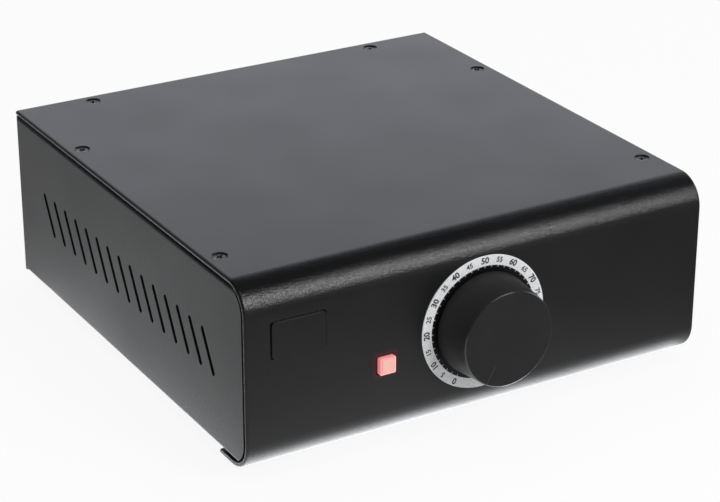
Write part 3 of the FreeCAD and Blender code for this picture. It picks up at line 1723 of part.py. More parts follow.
def buildSocketInserts():
    body = newBody("socket_inserts")
    gap = 2 * s.socket_insert_gap
    back = rearInner - s.socket_insert_depth
    face = rear + s.socket_shell_projection - s.socket_insert_recess
    item = newSketch(body, "XZ", back)
    for x in socketPlaces:
        dOutline(item, x, s.socket_shell_width - gap, s.socket_shell_height - gap)
    pad(body, item, face - back)
    # thirteen contacts in the upper row and one fewer below
    upper = newSketch(body, "XZ", face - s.socket_pin_depth)
    for x in socketPlaces:
        start = x - s.socket_pin_pitch * (s.socket_pin_count - 1) / 2
        circle(upper, start, socketZ + s.socket_row_pitch / 2, s.socket_pin_hole)
    first = pocket(body, upper, s.socket_pin_depth + s.cut_margin)
    repeat(body, [first], "X_Axis", s.socket_pin_pitch, s.socket_pin_count)
    lower = newSketch(body, "XZ", face - s.socket_pin_depth)
    for x in socketPlaces:
        start = x - s.socket_pin_pitch * (s.socket_pin_count - 2) / 2
        circle(lower, start, socketZ - s.socket_row_pitch / 2, s.socket_pin_hole)
    second = pocket(body, lower, s.socket_pin_depth + s.cut_margin)
    repeat(body, [second], "X_Axis", s.socket_pin_pitch, s.socket_pin_count - 1)


def buildJackscrews():
    body = newBody("socket_jackscrews")
    spots = [
        (x + side * s.jack_spacing / 2, socketZ) for x in socketPlaces for side in (-1, 1)]
    draw = nutShape(s.jackscrew_flats, s.jackscrew_bore)
    padSpots(body, "XZ", rear, spots, draw, s.jackscrew_height)
    length = s.jackscrew_shank_length
    padSpots(body, "XZ", rear - length, spots, disc(s.jackscrew_shank), length)


# leads

# a round lead along straight runs joined by arcs of one bend radius
def leadShape(points):
    spots = [FreeCAD.Vector(*[float(amount) for amount in point]) for point in points]
    radius = float(s.lead_diameter) / 2
    bend = float(s.lead_bend)
    edges = []
    start = spots[0]
    for before, corner, after in zip(spots, spots[1:], spots[2:]):
        inward = (before - corner).normalize()
        outward = (after - corner).normalize()
        half = inward.getAngle(outward) / 2
        back = bend / math.tan(half)
        first = corner + inward * back
        last = corner + outward * back
        bisector = (inward + outward).normalize()
        mid = corner + bisector * (bend / math.sin(half) - bend)
        edges.append(Part.LineSegment(start, first).toShape())
        edges.append(Part.Arc(first, mid, last).toShape())
        start = last
    edges.append(Part.LineSegment(start, spots[-1]).toShape())
    wire = Part.Wire(edges)
    heading = (spots[1] - spots[0]).normalize()
    section = Part.Wire(Part.makeCircle(radius, spots[0], heading))
    return wire.makePipeShell([section], True, False)


def buildLeads(name, routes):
    body = doc.addObject("Part::Feature", name)
    body.Shape = Part.makeCompound([leadShape(points) for points in routes])
    parts.append(body)


tabBack = inletBack - s.tab_length
powerBack = rear - s.power_body_depth - s.tab_length


# inlet to power switch, and power switch to transformer
def buildMainsLeads():
    step = 2 * s.lead_bend
    routes = []
    for (x, z), (endX, endZ) in zip(bladeSpots, (powerTerminals[0], powerTerminals[2])):
        routes.append([
            (x, tabBack, z),
            (x, tabBack - step, z),
            (endX, powerBack - step, endZ),
            (endX, powerBack, endZ),
        ])
    for x, z in (powerTerminals[1], powerTerminals[3]):
        drop = powerBack - s.lead_drop
        routes.append([
            (x, powerBack, z),
            (x, drop, z),
            (x, drop, (coilLow + coilHigh) / 2),
            (x, coilY + coilReach(x - coilX), (coilLow + coilHigh) / 2),
        ])
    buildLeads("mains_leads", routes)


# how far the coil's side is from its middle plane at an offset, with room for a lead's end
def coilReach(offset):
    radius = float(s.coil_diameter) / 2 + float(s.lead_coil_gap)
    near = max(abs(float(offset)) - float(s.lead_diameter) / 2, 0)
    return math.sqrt(max(radius ** 2 - near ** 2, 0))


def buildSecondaryLeads():
    routes = []
    x, y = terminalSpot
    start = x + s.terminal_width / 2
    for step in (-1, 0, 1):
        offset = step * s.terminal_length / 3
        routes.append([
            (start, y + offset, terminalZ),
            (coilX - coilReach(offset), y + offset, terminalZ)])
    buildLeads("secondary_leads", routes)


# a ring lug under a nut on the floor, with its lead from the inlet's earth blade
def buildEarthLead():
    x, z = earthBlade
    endX, endY = earthSpot
    level = deck + s.lead_diameter / 2
    centre = FreeCAD.Vector(float(endX), float(endY), float(deck))
    thick = float(s.earth_lug_thickness)
    hole = float(s.foot_screw_shank + s.board_screw_fit) / 2
    lug = Part.makeCylinder(float(s.earth_lug) / 2, thick, centre)
    lug = lug.cut(Part.makeCylinder(hole, thick, centre))
    lead = leadShape([
        (x, tabBack, z),
        (x, endY, z),
        (x, endY, level),
        (endX - s.earth_lug / 2, endY, level),
    ])
    body = doc.addObject("Part::Feature", "earth_lead")
    body.Shape = Part.makeCompound([lug, lead])
    parts.append(body)


def buildEarthScrew():
    body = newBody("earth_screw")
    length = s.chassis_thickness + s.earth_lug_thickness + s.foot_nut_height + s.foot_screw_spare
    addUpScrews(
        body, [earthSpot], base, s.foot_screw_head, s.foot_screw_head_height,
        s.foot_screw_shank, length)


# the whole controller

buildCover()
buildCoverScrews()
buildRivetNuts()
buildChassis()
buildRearPanel()
buildBadgePlate()
buildFeet()
buildFootScrews()
buildFloorNuts()
buildDialPlate()
buildKnob()
buildGrubScrew()
buildShaft()
buildWipers()
buildBush()
buildGangs()
buildTieBolts()
buildBushNut()
buildBushWasher()
buildRiserBoard()
buildMuteCap()
buildPlunger()
buildMuteSwitch()
buildMuteSpring()
buildMuteLamps()
buildControlBoard()
buildRibbon()
buildHeaders()
buildMainBoard()
buildBoardStandoffs()
buildBoardScrews()
buildRelays()
buildCapacitors()
buildHeatsinks()
buildRegulators()
buildChips()
buildMainsTerminal()
buildCoil()
buildPads()
buildDish()
buildCoilBolt()
buildCoilNut()
buildInlet()
buildBlades()
buildRearPanelScrews()
buildFuseDrawer()
buildFuse()
buildPowerBody()
buildRocker()
for switch in slideSwitches:
    buildSlideBody(switch)
    buildSlider(switch)
buildSocketShells()
buildSocketInserts()
buildJackscrews()
buildMainsLeads()
buildSecondaryLeads()
buildEarthLead()
buildEarthScrew()

doc.recompute()
for item in doc.Objects:
    if "Invalid" in item.State or "Error" in item.State:
        raise RuntimeError(f"{item.Label} did not build: {item.State}")
for item in parts:
    if item.Shape.isNull() or not item.Shape.isValid():
        raise RuntimeError(f"{item.Label} has no valid shape")
for item in parts:
    item.Shape.exportStep(f"parts/{item.Label}.step")
print(len(parts), "parts")
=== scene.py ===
import json
import math
import bmesh
import bpy
from mathutils import Euler, Matrix, Vector

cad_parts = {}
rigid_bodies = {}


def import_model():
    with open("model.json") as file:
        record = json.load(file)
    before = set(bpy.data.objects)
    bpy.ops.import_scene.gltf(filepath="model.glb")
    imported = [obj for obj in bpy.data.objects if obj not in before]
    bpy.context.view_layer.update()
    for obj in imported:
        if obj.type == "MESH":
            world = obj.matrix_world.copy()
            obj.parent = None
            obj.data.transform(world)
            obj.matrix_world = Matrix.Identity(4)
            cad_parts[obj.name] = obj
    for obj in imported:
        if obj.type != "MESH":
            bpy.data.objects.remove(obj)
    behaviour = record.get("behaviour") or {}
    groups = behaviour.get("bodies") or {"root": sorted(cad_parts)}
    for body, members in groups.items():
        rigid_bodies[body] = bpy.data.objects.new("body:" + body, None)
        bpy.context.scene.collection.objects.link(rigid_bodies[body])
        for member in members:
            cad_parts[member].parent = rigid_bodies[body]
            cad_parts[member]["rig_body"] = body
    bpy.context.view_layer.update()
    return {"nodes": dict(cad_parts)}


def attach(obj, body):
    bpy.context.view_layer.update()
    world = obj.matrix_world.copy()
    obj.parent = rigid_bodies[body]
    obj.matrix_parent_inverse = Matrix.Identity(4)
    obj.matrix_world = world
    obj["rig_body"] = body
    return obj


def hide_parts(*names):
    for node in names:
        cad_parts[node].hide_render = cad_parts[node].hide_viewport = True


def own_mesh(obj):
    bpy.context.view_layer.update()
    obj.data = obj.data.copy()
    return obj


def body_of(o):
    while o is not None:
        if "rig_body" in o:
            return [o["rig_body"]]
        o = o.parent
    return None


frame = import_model()
mm = 0.001
body = "case"

# where things are, in millimetres: +X right, +Y back, +Z up, the table at z 0
place = {
    "front": -102.5,
    "rear": 116.5,
    "roof": 84.7,
    "sill": 4.4,
    "halfWidth": 107.5,
    "dial": (0, -102.5, 45.8),
    "mute": (-45.5, -102.5, 38.3),
    "badge": (-84.4, -102.5, 60.85),
}


def report(text):
    print("stage:", text)


# links what is a socket, and sets anything else on the node's own socket
def feed(node, inputs):
    for key, value in inputs.items():
        if isinstance(value, bpy.types.NodeSocket):
            node.id_data.links.new(value, node.inputs[key])
        else:
            node.inputs[key].default_value = value


def addNode(tree, kind, inputs=None, **settings):
    node = tree.nodes.new(kind)
    for key, value in settings.items():
        setattr(node, key, value)
    feed(node, inputs or {})
    return node


def metres(values):
    return [value * mm for value in values]


def rgb(colour):
    return (*colour, 1)


def objectSpot(tree):
    return addNode(tree, "ShaderNodeTexCoord").outputs["Object"]


def splitAxes(tree, spot):
    return addNode(tree, "ShaderNodeSeparateXYZ", {0: spot}).outputs


def calc(tree, operation, *values):
    return addNode(tree, "ShaderNodeMath", dict(enumerate(values)), operation=operation).outputs[0]


def vector(tree, operation, *values):
    node = addNode(tree, "ShaderNodeVectorMath", dict(enumerate(values)), operation=operation)
    return node.outputs["Value" if operation in ("LENGTH", "DISTANCE", "DOT_PRODUCT") else "Vector"]


def scaled(tree, colour, share):
    return addNode(tree, "ShaderNodeVectorMath", {0: colour, "Scale": share}, operation="SCALE").outputs[0]


# carries a value that runs from start to end over to low and high
def ranged(tree, value, start=0, end=1, low=0, high=1, kind="LINEAR"):
    return addNode(tree, "ShaderNodeMapRange", {
        "Value": value, "From Min": start, "From Max": end, "To Min": low, "To Max": high},
        interpolation_type=kind).outputs[0]


def mixed(tree, share, first, second):
    return addNode(tree, "ShaderNodeMix", {0: share, 2: first, 3: second}).outputs[0]


def mixedColour(tree, share, first, second):
    return addNode(tree, "ShaderNodeMix", {0: share, 6: first, 7: second}, data_type="RGBA").outputs[2]


def mixedShader(tree, share, first, second):
    return addNode(tree, "ShaderNodeMixShader", {0: share, 1: first, 2: second}).outputs[0]


def noise(tree, spot, scale, detail=2):
    inputs = {"Vector": spot, "Scale": scale, "Detail": detail}
    return addNode(tree, "ShaderNodeTexNoise", inputs).outputs[0]


def relieved(tree, shader, height, strength, distance):
    bump = addNode(tree, "ShaderNodeBump", {"Height": height, "Strength": strength, "Distance": distance})
    feed(shader, {"Normal": bump.outputs[0]})


# how far a point lies outside a box, given by its centre and half sizes in millimetres
def outside(tree, spot, centre, half):
    away = vector(tree, "ABSOLUTE", vector(tree, "SUBTRACT", spot, metres(centre)))
    away = vector(tree, "SUBTRACT", away, metres(half))
    return vector(tree, "LENGTH", vector(tree, "MAXIMUM", away))


# how far a point lies from the dial's axis
def fromAxis(tree, spot):
    x, _, z = place["dial"]
    return vector(tree, "DISTANCE", vector(tree, "MULTIPLY", spot, (1, 0, 1)), metres((x, 0, z)))


# every finish by its name
made = {}


# starts a new finish, or one from a copy of another, and gives its tree and shader
def surface(name, copied=None):
    material = made[copied].copy() if copied else bpy.data.materials.new(name)
    material.name = name
    material.use_nodes = True
    made[name] = material
    return material.node_tree, material.node_tree.nodes["Principled BSDF"]


# gives a share of the surface its own roughness
def roughened(tree, shader, share, rough):
    satin = shader.inputs["Roughness"].links[0].from_socket
    feed(shader, {"Roughness": mixed(tree, share, satin, rough)})


# what a finish leaves out is taken from here
plainLook = {
    "stretch": (1, 1, 1), "mottle": 60, "mottleSpan": (0.35, 0.68), "lighter": 1.18, "grain": 1500,
    "fleck": 0.1, "strength": 0.5, "relief": 0.00003, "metal": 0, "ior": 1.5, "coat": 0, "coatRough": 0.1,
    "clear": 0,
}
# noise keeps mostly within this span
noiseSpan = (0.3, 0.7)


# one surface finish: two mottled tones, an uneven gloss and a fine relief, all in object coordinates
def makeFinish(name, given):
    look = {**plainLook, **given}
    tree, shader = surface(name)
    stretch = addNode(tree, "ShaderNodeMapping", {"Vector": objectSpot(tree), "Scale": look["stretch"]})
    mottle = noise(tree, stretch.outputs[0], look["mottle"], detail=3)
    tone = addNode(tree, "ShaderNodeValToRGB", {"Fac": mottle})
    colours = look["colour"], look.get("second", [part * look["lighter"] for part in look["colour"]])
    for stop, position, colour in zip(tone.color_ramp.elements, look["mottleSpan"], colours):
        stop.position = position
        stop.color = rgb(colour)
    grain = noise(tree, stretch.outputs[0], look["grain"])
    fleck = ranged(tree, grain, *noiseSpan, 1 - look["fleck"], 1 + look["fleck"])
    relieved(tree, shader, grain, look["strength"], look["relief"])
    feed(shader, {
        "Base Color": scaled(tree, tone.outputs[0], fleck),
        "Roughness": ranged(tree, mottle, *noiseSpan, *look["rough"]),
        "Metallic": look["metal"], "IOR": look["ior"], "Coat Weight": look["coat"],
        "Coat Roughness": look["coatRough"], "Transmission Weight": look["clear"]})


finishes = {
    "casePaint": {
        "colour": (0.0062, 0.0062, 0.0066), "second": (0.0075, 0.0075, 0.0078), "rough": (0.33, 0.37),
        "mottle": 25, "grain": 1900, "fleck": 0.3, "relief": 0.00007, "strength": 0.65, "ior": 1.47,
    },
    "chassisPaint": {
        "colour": (0.0062, 0.0065, 0.007), "second": (0.0078, 0.0082, 0.0088), "rough": (0.33, 0.38),
        "mottle": 25, "grain": 1200, "fleck": 0.35, "relief": 0.00013, "strength": 0.8, "ior": 1.47,
    },
    "screwZinc": {
        "colour": (0.095, 0.095, 0.1), "rough": (0.26, 0.36), "metal": 1, "mottle": 400, "relief": 0.00001,
    },
    "blackZinc": {"colour": (0.02, 0.02, 0.021), "rough": (0.28, 0.4), "mottle": 400, "relief": 0.00001},
    "zinc": {
        "colour": (0.5, 0.5, 0.48), "second": (0.62, 0.62, 0.6), "rough": (0.25, 0.4), "metal": 1,
        "mottle": 300,
    },
    "footRubber": {"colour": (0.018, 0.018, 0.018), "rough": (0.7, 0.85), "mottle": 300, "relief": 0.00005},
    "knobSatin": {
        "colour": (0.0145, 0.0145, 0.0146), "second": (0.0165, 0.0165, 0.0166), "rough": (0.52, 0.58),
        "mottle": 120, "grain": 2600, "fleck": 0.15, "relief": 0.00003, "ior": 1.3,
    },
    "pointerPaint": {"colour": (0.036, 0.036, 0.037), "rough": (0.5, 0.6)},
    "turnedSteel": {"colour": (0.5, 0.5, 0.5), "rough": (0.25, 0.35), "metal": 1, "mottle": 300},
    "nickelBrass": {
        "colour": (0.55, 0.48, 0.3), "second": (0.68, 0.6, 0.38), "rough": (0.22, 0.35), "metal": 1,
    },
    "phenolic": {
        "colour": (0.18, 0.1, 0.045), "second": (0.26, 0.15, 0.07), "rough": (0.5, 0.62), "mottle": 250,
    },
    "contactBrass": {"colour": (0.7, 0.55, 0.22), "rough": (0.25, 0.35), "metal": 1},
    "boardGreen": {
        "colour": (0.02, 0.12, 0.05), "second": (0.03, 0.16, 0.07), "rough": (0.35, 0.5), "mottle": 180,
    },
    "whitePlastic": {"colour": (0.7, 0.7, 0.66), "rough": (0.4, 0.5)},
    "blackPlastic": {
        "colour": (0.016, 0.016, 0.017), "second": (0.022, 0.022, 0.023), "rough": (0.42, 0.55),
        "mottle": 200, "grain": 2200, "relief": 0.00004,
    },
    "rockerGloss": {"colour": (0.014, 0.014, 0.015), "rough": (0.16, 0.24), "coat": 0.3},
    "selectorRed": {"colour": (0.45, 0.02, 0.015), "second": (0.55, 0.03, 0.025), "rough": (0.35, 0.45)},
    "ribbonGrey": {
        "colour": (0.32, 0.33, 0.35), "rough": (0.45, 0.55), "stretch": (4, 0.2, 0.2), "mottle": 300,
    },
    "relayCase": {"colour": (0.62, 0.58, 0.48), "rough": (0.4, 0.5)},
    "sleeveBlue": {"colour": (0.02, 0.045, 0.16), "rough": (0.2, 0.3), "coat": 0.3},
    "sinkBlack": {"colour": (0.03, 0.03, 0.032), "rough": (0.35, 0.45), "metal": 0.6},
    "terminalGreen": {"colour": (0.03, 0.26, 0.08), "rough": (0.4, 0.5)},
    "coilTape": {
        "colour": (0.62, 0.45, 0.12), "second": (0.75, 0.58, 0.2), "rough": (0.2, 0.32), "coat": 0.3,
        "mottle": 150, "stretch": (1, 1, 0.2),
    },
    "padRubber": {"colour": (0.03, 0.03, 0.03), "rough": (0.7, 0.8)},
    "fuseGlass": {"colour": (0.8, 0.84, 0.86), "rough": (0.06, 0.12), "clear": 0.8},
    "shellTin": {
        "colour": (0.6, 0.59, 0.56), "second": (0.7, 0.69, 0.66), "rough": (0.18, 0.3), "metal": 1,
    },
    "leadSleeve": {"colour": (0.16, 0.06, 0.03), "second": (0.2, 0.08, 0.04), "rough": (0.4, 0.5)},
    "inkBlack": {"colour": (0.008, 0.008, 0.008), "rough": (0.4, 0.5), "grain": 3000},
    "inkWhite": {"colour": (0.55, 0.55, 0.55), "rough": (0.45, 0.55), "grain": 3000},
}
for name, look in finishes.items():
    makeFinish(name, look)

nodeFinish = {
    "casePaint": "cover",
    "chassisPaint": "chassis_tray rear_panel badge_plate",
    "screwZinc": "cover_screws",
    "blackZinc": "rear_panel_screws",
    "zinc": "rivet_nuts foot_screws floor_nuts volume_nut volume_washer volume_tie_bolts board_screws "
            "transformer_bolt transformer_nut transformer_dish earth_screw knob_grub_screw "
            "socket_jackscrews",
    "footRubber": "feet",
    "knobSatin": "volume_knob dial_plate",
    "turnedSteel": "volume_shaft board_standoffs",
    "nickelBrass": "volume_bush inlet_blades",
    "phenolic": "volume_gangs",
    "contactBrass": "volume_wipers",
    "boardGreen": "volume_riser_board control_board main_board",
    "whitePlastic": "mute_plunger mute_lamps mute_button",
    "blackPlastic": "mute_switch board_headers inlet_housing fuse_drawer power_switch_body "
                    "voltage_selector_body ground_lift_body socket_inserts board_chips regulators",
    "rockerGloss": "power_rocker ground_lift_slider",
    "selectorRed": "voltage_selector_slider",
    "ribbonGrey": "ribbon_cable",
    "relayCase": "relays",
    "sleeveBlue": "capacitors",
    "sinkBlack": "heatsinks",
    "terminalGreen": "power_terminal",
    "coilTape": "transformer",
    "padRubber": "transformer_pads",
    "fuseGlass": "fuse",
    "shellTin": "socket_shells",
    "leadSleeve": "mains_leads secondary_leads earth_lead",
}


def paint(mesh, finish):
    mesh.materials.clear()
    mesh.materials.append(made[finish])


for finish, nodes in nodeFinish.items():
    for node in nodes.split():
        paint(frame["nodes"][node].data, finish)
report("finishes")


def addObject(name, data):
    item = bpy.data.objects.new(name, data)
    bpy.context.scene.collection.objects.link(item)
    return item


# edges over this many degrees stay sharp
sharpAngle = 30


def smooth(mesh, sharp=sharpAngle):
    mesh.shade_smooth()
    mesh.set_sharp_from_angle(angle=math.radians(sharp))


def newPiece(name, mesh, finish):
    item = addObject(name, mesh)
    paint(mesh, finish)
    smooth(mesh)
    return item


def plainMesh(bm, name):
    mesh = bpy.data.meshes.new(name)
    bm.to_mesh(mesh)
    bm.free()
    return mesh


# the same, with its faces turned outwards
def meshOf(bm, name):
    bmesh.ops.recalc_face_normals(bm, faces=bm.faces)
    return plainMesh(bm, name)


# rounds the corners of a run of points; each radius belongs to its point and 0 keeps it sharp
def rounded(points, radii, steps=3, closed=False):
    out = []
    count = len(points)
    for index, (point, radius) in enumerate(zip(points, radii)):
        here = Vector(point)
        if radius == 0 or (not closed and index in (0, count - 1)):
            out.append(here)
            continue
        before = (Vector(points[index - 1]) - here).normalized()
        after = (Vector(points[(index + 1) % count]) - here).normalized()
        half = before.angle(after) / 2
        back = radius / math.tan(half)
        centre = here + (before + after).normalized() * (radius / math.sin(half))
        start = here + before * back - centre
        end = here + after * back - centre
        sweep = start.angle(end)
        for step in range(steps + 1):
            share = step / steps
            out.append(centre + (start * math.sin((1 - share) * sweep) + end * math.sin(share * sweep))
                       / math.sin(sweep))
    return out


# spins a run of (radius, along) points round an axis through centre; all in millimetres
def turned(profile, centre, axis="y", segments=64):
    bm = bmesh.new()
    rings = []
    for radius, along in profile:
        ring = []
        for index in range(segments if radius else 1):
            angle = 2 * math.pi * index / segments
            across, upward = radius * math.cos(angle), radius * math.sin(angle)
            spot = (across, along, upward) if axis == "y" else (across, upward, along)
            ring.append(bm.verts.new(metres(a + b for a, b in zip(spot, centre))))
        rings.append(ring)
    for first, second in zip(rings, rings[1:]):
        if len(first) == 1 and len(second) == 1:
            continue
        for index in range(segments):
            after = (index + 1) % segments
            if len(first) == 1:
                bm.faces.new((first[0], second[index], second[after]))
            elif len(second) == 1:
                bm.faces.new((first[index], first[after], second[0]))
            else:
                bm.faces.new((first[index], first[after], second[after], second[index]))
    return bm


# a flat outline of (x, z) points, raised from y start to y end
def raised(outline, start, end):
    bm = bmesh.new()
    low = [bm.verts.new(metres((x, start, z))) for x, z in outline]
    high = [bm.verts.new(metres((x, end, z))) for x, z in outline]
    bm.faces.new(low)
    bm.faces.new(list(reversed(high)))
    for index in range(len(outline)):
        after = (index + 1) % len(outline)
        bm.faces.new((low[index], high[index], high[after], low[after]))
    return bm


def roundedSquare(x, z, width, height, radius, steps=6):
    corners = [(x - width / 2, z - height / 2), (x + width / 2, z - height / 2),
               (x + width / 2, z + height / 2), (x - width / 2, z + height / 2)]
    return [tuple(p) for p in rounded(corners, [radius] * 4, steps, closed=True)]


# edges over these many degrees are eased, the second on pieces cut out of a block
crease = 38
cutCrease = 40


def addBevel(item, width, segments=3, angle=crease):
    bevel = item.modifiers.new("edge", "BEVEL")
    bevel.width = width * mm
    bevel.segments = segments
    bevel.limit_method = "ANGLE"
    bevel.angle_limit = math.radians(angle)
    bevel.miter_outer = "MITER_ARC"
    bevel.harden_normals = True


# an object's form with its live modifiers, as a plain mesh
def evaluated(item):
    bpy.context.view_layer.update()
    return bpy.data.meshes.new_from_object(item.evaluated_get(bpy.context.evaluated_depsgraph_get()))


# makes that mesh the object's own
def settle(item, finish=None):
    mesh = evaluated(item)
    item.modifiers.clear()
    item.data = mesh
    if finish:
        paint(mesh, finish)


# joins other to item, or takes it away, and drops it
def combine(item, other, operation):
    modifier = item.modifiers.new("combine", "BOOLEAN")
    modifier.operation = operation
    modifier.solver = "EXACT"
    modifier.object = other
    settle(item)
    bpy.data.objects.remove(other)


def cut(item, tools):
    for tool in tools:
        combine(item, addObject("cutter", meshOf(tool, "cutter")), "DIFFERENCE")


# points within doubles metres are one; faces within flatAngle degrees of each other merge
doubles = 2e-6
flatAngle = 0.5


# a CAD node's own form with its doubles merged and its edges eased
def easedCopy(node, name, finish, edge, segments=2, fine=None, fitted=None):
    bm = bmesh.new()
    bm.from_mesh(frame["nodes"][node].data)
    if fitted:
        fitted(bm)
    bmesh.ops.remove_doubles(bm, verts=bm.verts, dist=doubles)
    bmesh.ops.dissolve_limit(bm, angle_limit=math.radians(flatAngle), verts=bm.verts, edges=bm.edges)
    if fine:
        weights = bm.edges.layers.float.new("bevel_weight_edge")
        for line in bm.edges:
            if len(line.link_faces) == 2 and line.calc_face_angle() > math.radians(crease):
                line[weights] = fine(line)
    item = newPiece(name, plainMesh(bm, name), finish)
    if edge:
        addBevel(item, edge, segments)
        if fine:
            item.modifiers["edge"].limit_method = "WEIGHT"
    ready(item, body_of(frame["nodes"][node])[0], [node])


# what a piece rides on and the CAD nodes it stands for
def ready(item, rides, replaced):
    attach(item, rides)
    if replaced:
        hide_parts(*replaced)


# starts a tree of geometry nodes with its named inputs
def treeInputs(tree, kinds):
    for name, kind in kinds.items():
        tree.interface.new_socket(name, in_out="INPUT", socket_type="NodeSocket" + kind)
    tree.interface.new_socket("Made", in_out="OUTPUT", socket_type="NodeSocketGeometry")
    return addNode(tree, "NodeGroupInput").outputs


# ends it: the pattern on every point, made real and given its finish
def instanced(tree, points, pattern, turn, finish):
    copies = addNode(tree, "GeometryNodeInstanceOnPoints", {
        "Points": points, "Instance": pattern, "Rotation": turn})
    real = addNode(tree, "GeometryNodeRealizeInstances", {"Geometry": copies.outputs[0]})
    painted = addNode(tree, "GeometryNodeSetMaterial", {"Geometry": real.outputs[0], "Material": finish})
    addNode(tree, "NodeGroupOutput", {0: painted.outputs[0]})
    return tree


# copies of one small piece on given points, each turned by chance round its own axis
def copiesTree():
    tree = bpy.data.node_groups.new("copiesOnPoints", "GeometryNodeTree")
    given = treeInputs(tree, {"Points": "Geometry", "Pattern": "Object", "Finish": "Material",
                              "Most turn": "Vector", "Seed": "Int"})
    pattern = addNode(tree, "GeometryNodeObjectInfo", {"Object": given["Pattern"]})
    turn = addNode(tree, "FunctionNodeRandomValue", {"Max": given["Most turn"], "Seed": given["Seed"]},
                   data_type="FLOAT_VECTOR")
    spots = addNode(tree, "GeometryNodeMeshToPoints", {"Mesh": given["Points"]})
    return instanced(tree, spots.outputs[0], pattern.outputs["Geometry"], turn.outputs[0], given["Finish"])


copies = copiesTree()


def setInputs(modifier, values):
    for socket in modifier.node_group.interface.items_tree:
        if socket.in_out == "INPUT" and socket.name in values:
            modifier[socket.identifier] = values[socket.name]


def placeCopies(name, pattern, spots, finish, turn=(0, 0, 0), seed=1):
    bm = bmesh.new()
    for spot in spots:
        bm.verts.new(metres(spot))
    item = addObject(name, plainMesh(bm, name))
    model = addObject(name + "Pattern", pattern)
    modifier = item.modifiers.new("copies", "NODES")
    modifier.node_group = copies
    setInputs(modifier, {"Pattern": model, "Finish": made[finish], "Most turn": turn, "Seed": seed})
    settle(item)
    bpy.data.objects.remove(model)
    item.data.set_sharp_from_angle(angle=math.radians(sharpAngle))
    return item


cover = {
    "thickness": 2, "bend": 13, "lip": 24, "bendSteps": 28, "edge": 0.92, "edgeSteps": 5, "edgeMost": 0.98,
    "guide": 0.6, "rimEdge": 0.13,
    "screwX": (-100.7, 100.7), "screwY": (-69.7, 58.9), "backScrews": ((-72.5, 109.8), (72.5, 109.8)),
    "lipScrews": ((-70, -84), (70, -84)),
    "rim": 3.5, "hole": 1.7, "sink": 1.85, "above": 1, "ahead": 2, "through": 4,
    "badgeWidth": 24.75, "badgeHeight": 16.3, "badgeCorner": 1.5, "badgeDepth": 0.9,
    "muteHole": 8.4, "muteCorner": 0.95, "shaftHole": 4.7,
    # the painted red glow round the button's hole: its reach, strength and colour
    "paintedGlowReach": 2.6, "paintedGlowLevel": 0.03, "paintedGlowColour": (1, 0.02, 0.06),
    "bendGrain": 0.0003, "bendRough": 0.2, "bendFrom": (0.2, 1), "bendTo": (0.6, 1),
    "sparkle": 1850, "sparkleSpan": (0.36, 0.64), "sparkleGloss": (1.36, 1.63),
    # the painted highlight on the lower arris: where it lies, how wide and soft it is, how near the ends,
    # and how strong at the front and at the roof
    "highlightAt": 1.55, "highlightHalf": 0.25, "highlightSoft": 0.6, "highlightSpan": 0.7, "highlightFront": 22, "highlightRoof": 60,
    "paleFrom": 2, "paleTo": 4,
}
topScrews = [(x, y) for x in cover["screwX"] for y in cover["screwY"]] + list(cover["backScrews"])


# painted glow: the lit button's red light is painted as emission on the paint round its hole, at any depth
def spillFrom(tree, shader, spot):
    x, _, z = place["mute"]
    half = cover["muteHole"] / 2
    away = outside(tree, spot, (x, 0, z), (half, 1000, half))
    glow = ranged(tree, away, 0, cover["paintedGlowReach"] * mm, cover["paintedGlowLevel"], 0, "SMOOTHERSTEP")
    feed(shader, {"Emission Color": rgb(cover["paintedGlowColour"]), "Emission Strength": glow})


# the coat lies coarser on the bends, and on the upper one it shines and sparkles
def coatBends(tree, shader, spot, axes, middle):
    front, bend = place["front"], cover["bend"]
    starts, ends = cover["bendFrom"], cover["bendTo"]
    start = ranged(tree, axes[1], (front + starts[0]) * mm, (front + starts[1]) * mm)
    end = ranged(tree, axes[1], (front + ends[0] * bend) * mm, (front + ends[1] * bend) * mm, 1, 0)
    onBend = calc(tree, "MULTIPLY", start, end)
    coarse = ranged(tree, onBend, 0, 1, finishes["casePaint"]["relief"], cover["bendGrain"])
    feed(tree.nodes["Bump"], {"Distance": coarse})
    upper = calc(tree, "MULTIPLY", calc(tree, "GREATER_THAN", axes[2], middle * mm), onBend)
    roughened(tree, shader, upper, cover["bendRough"])
    speck = noise(tree, spot, cover["sparkle"], detail=1)
    speck = ranged(tree, speck, *cover["sparkleSpan"], *cover["sparkleGloss"])
    feed(shader, {"IOR": mixed(tree, upper, finishes["casePaint"]["ior"], speck)})


# painted highlight: the lower arris of the sheet's cut edges is lightened, at one distance from the line
# the sheet is bent round
def wearArris(tree, shader, spot, axes, middle):
    front, bend, rise = place["front"], cover["bend"], (place["roof"] - place["sill"]) / 2
    flat = vector(tree, "SUBTRACT", spot, metres((0, front + bend, middle)))
    flat = vector(tree, "MULTIPLY", flat, (0, 1, 1))
    flat = vector(tree, "ABSOLUTE", vector(tree, "MINIMUM", flat, (0, 0, 1)))
    flat = vector(tree, "MAXIMUM", vector(tree, "SUBTRACT", flat, (0, 0, (rise - bend) * mm)))
    reach = vector(tree, "LENGTH", flat)
    off = calc(tree, "ABSOLUTE", calc(tree, "SUBTRACT", reach, (bend - cover["highlightAt"]) * mm))
    half = cover["highlightHalf"] * mm
    arrisBand = ranged(tree, off, cover["highlightSoft"] * half, half, 1, 0)
    aside = calc(tree, "GREATER_THAN", calc(tree, "ABSOLUTE", axes[0]),
                 (place["halfWidth"] - cover["highlightSpan"]) * mm)
    pale = ranged(tree, axes[1], (front + cover["paleFrom"]) * mm, (front + bend + cover["paleTo"]) * mm,
                  cover["highlightFront"], cover["highlightRoof"])
    # painted highlight: the paint's colour is lifted many times over along that arris
    lift = calc(tree, "MULTIPLY_ADD", calc(tree, "MULTIPLY", arrisBand, aside), pale, 1)
    paint = shader.inputs["Base Color"].links[0].from_socket
    feed(shader, {"Base Color": scaled(tree, paint, lift)})


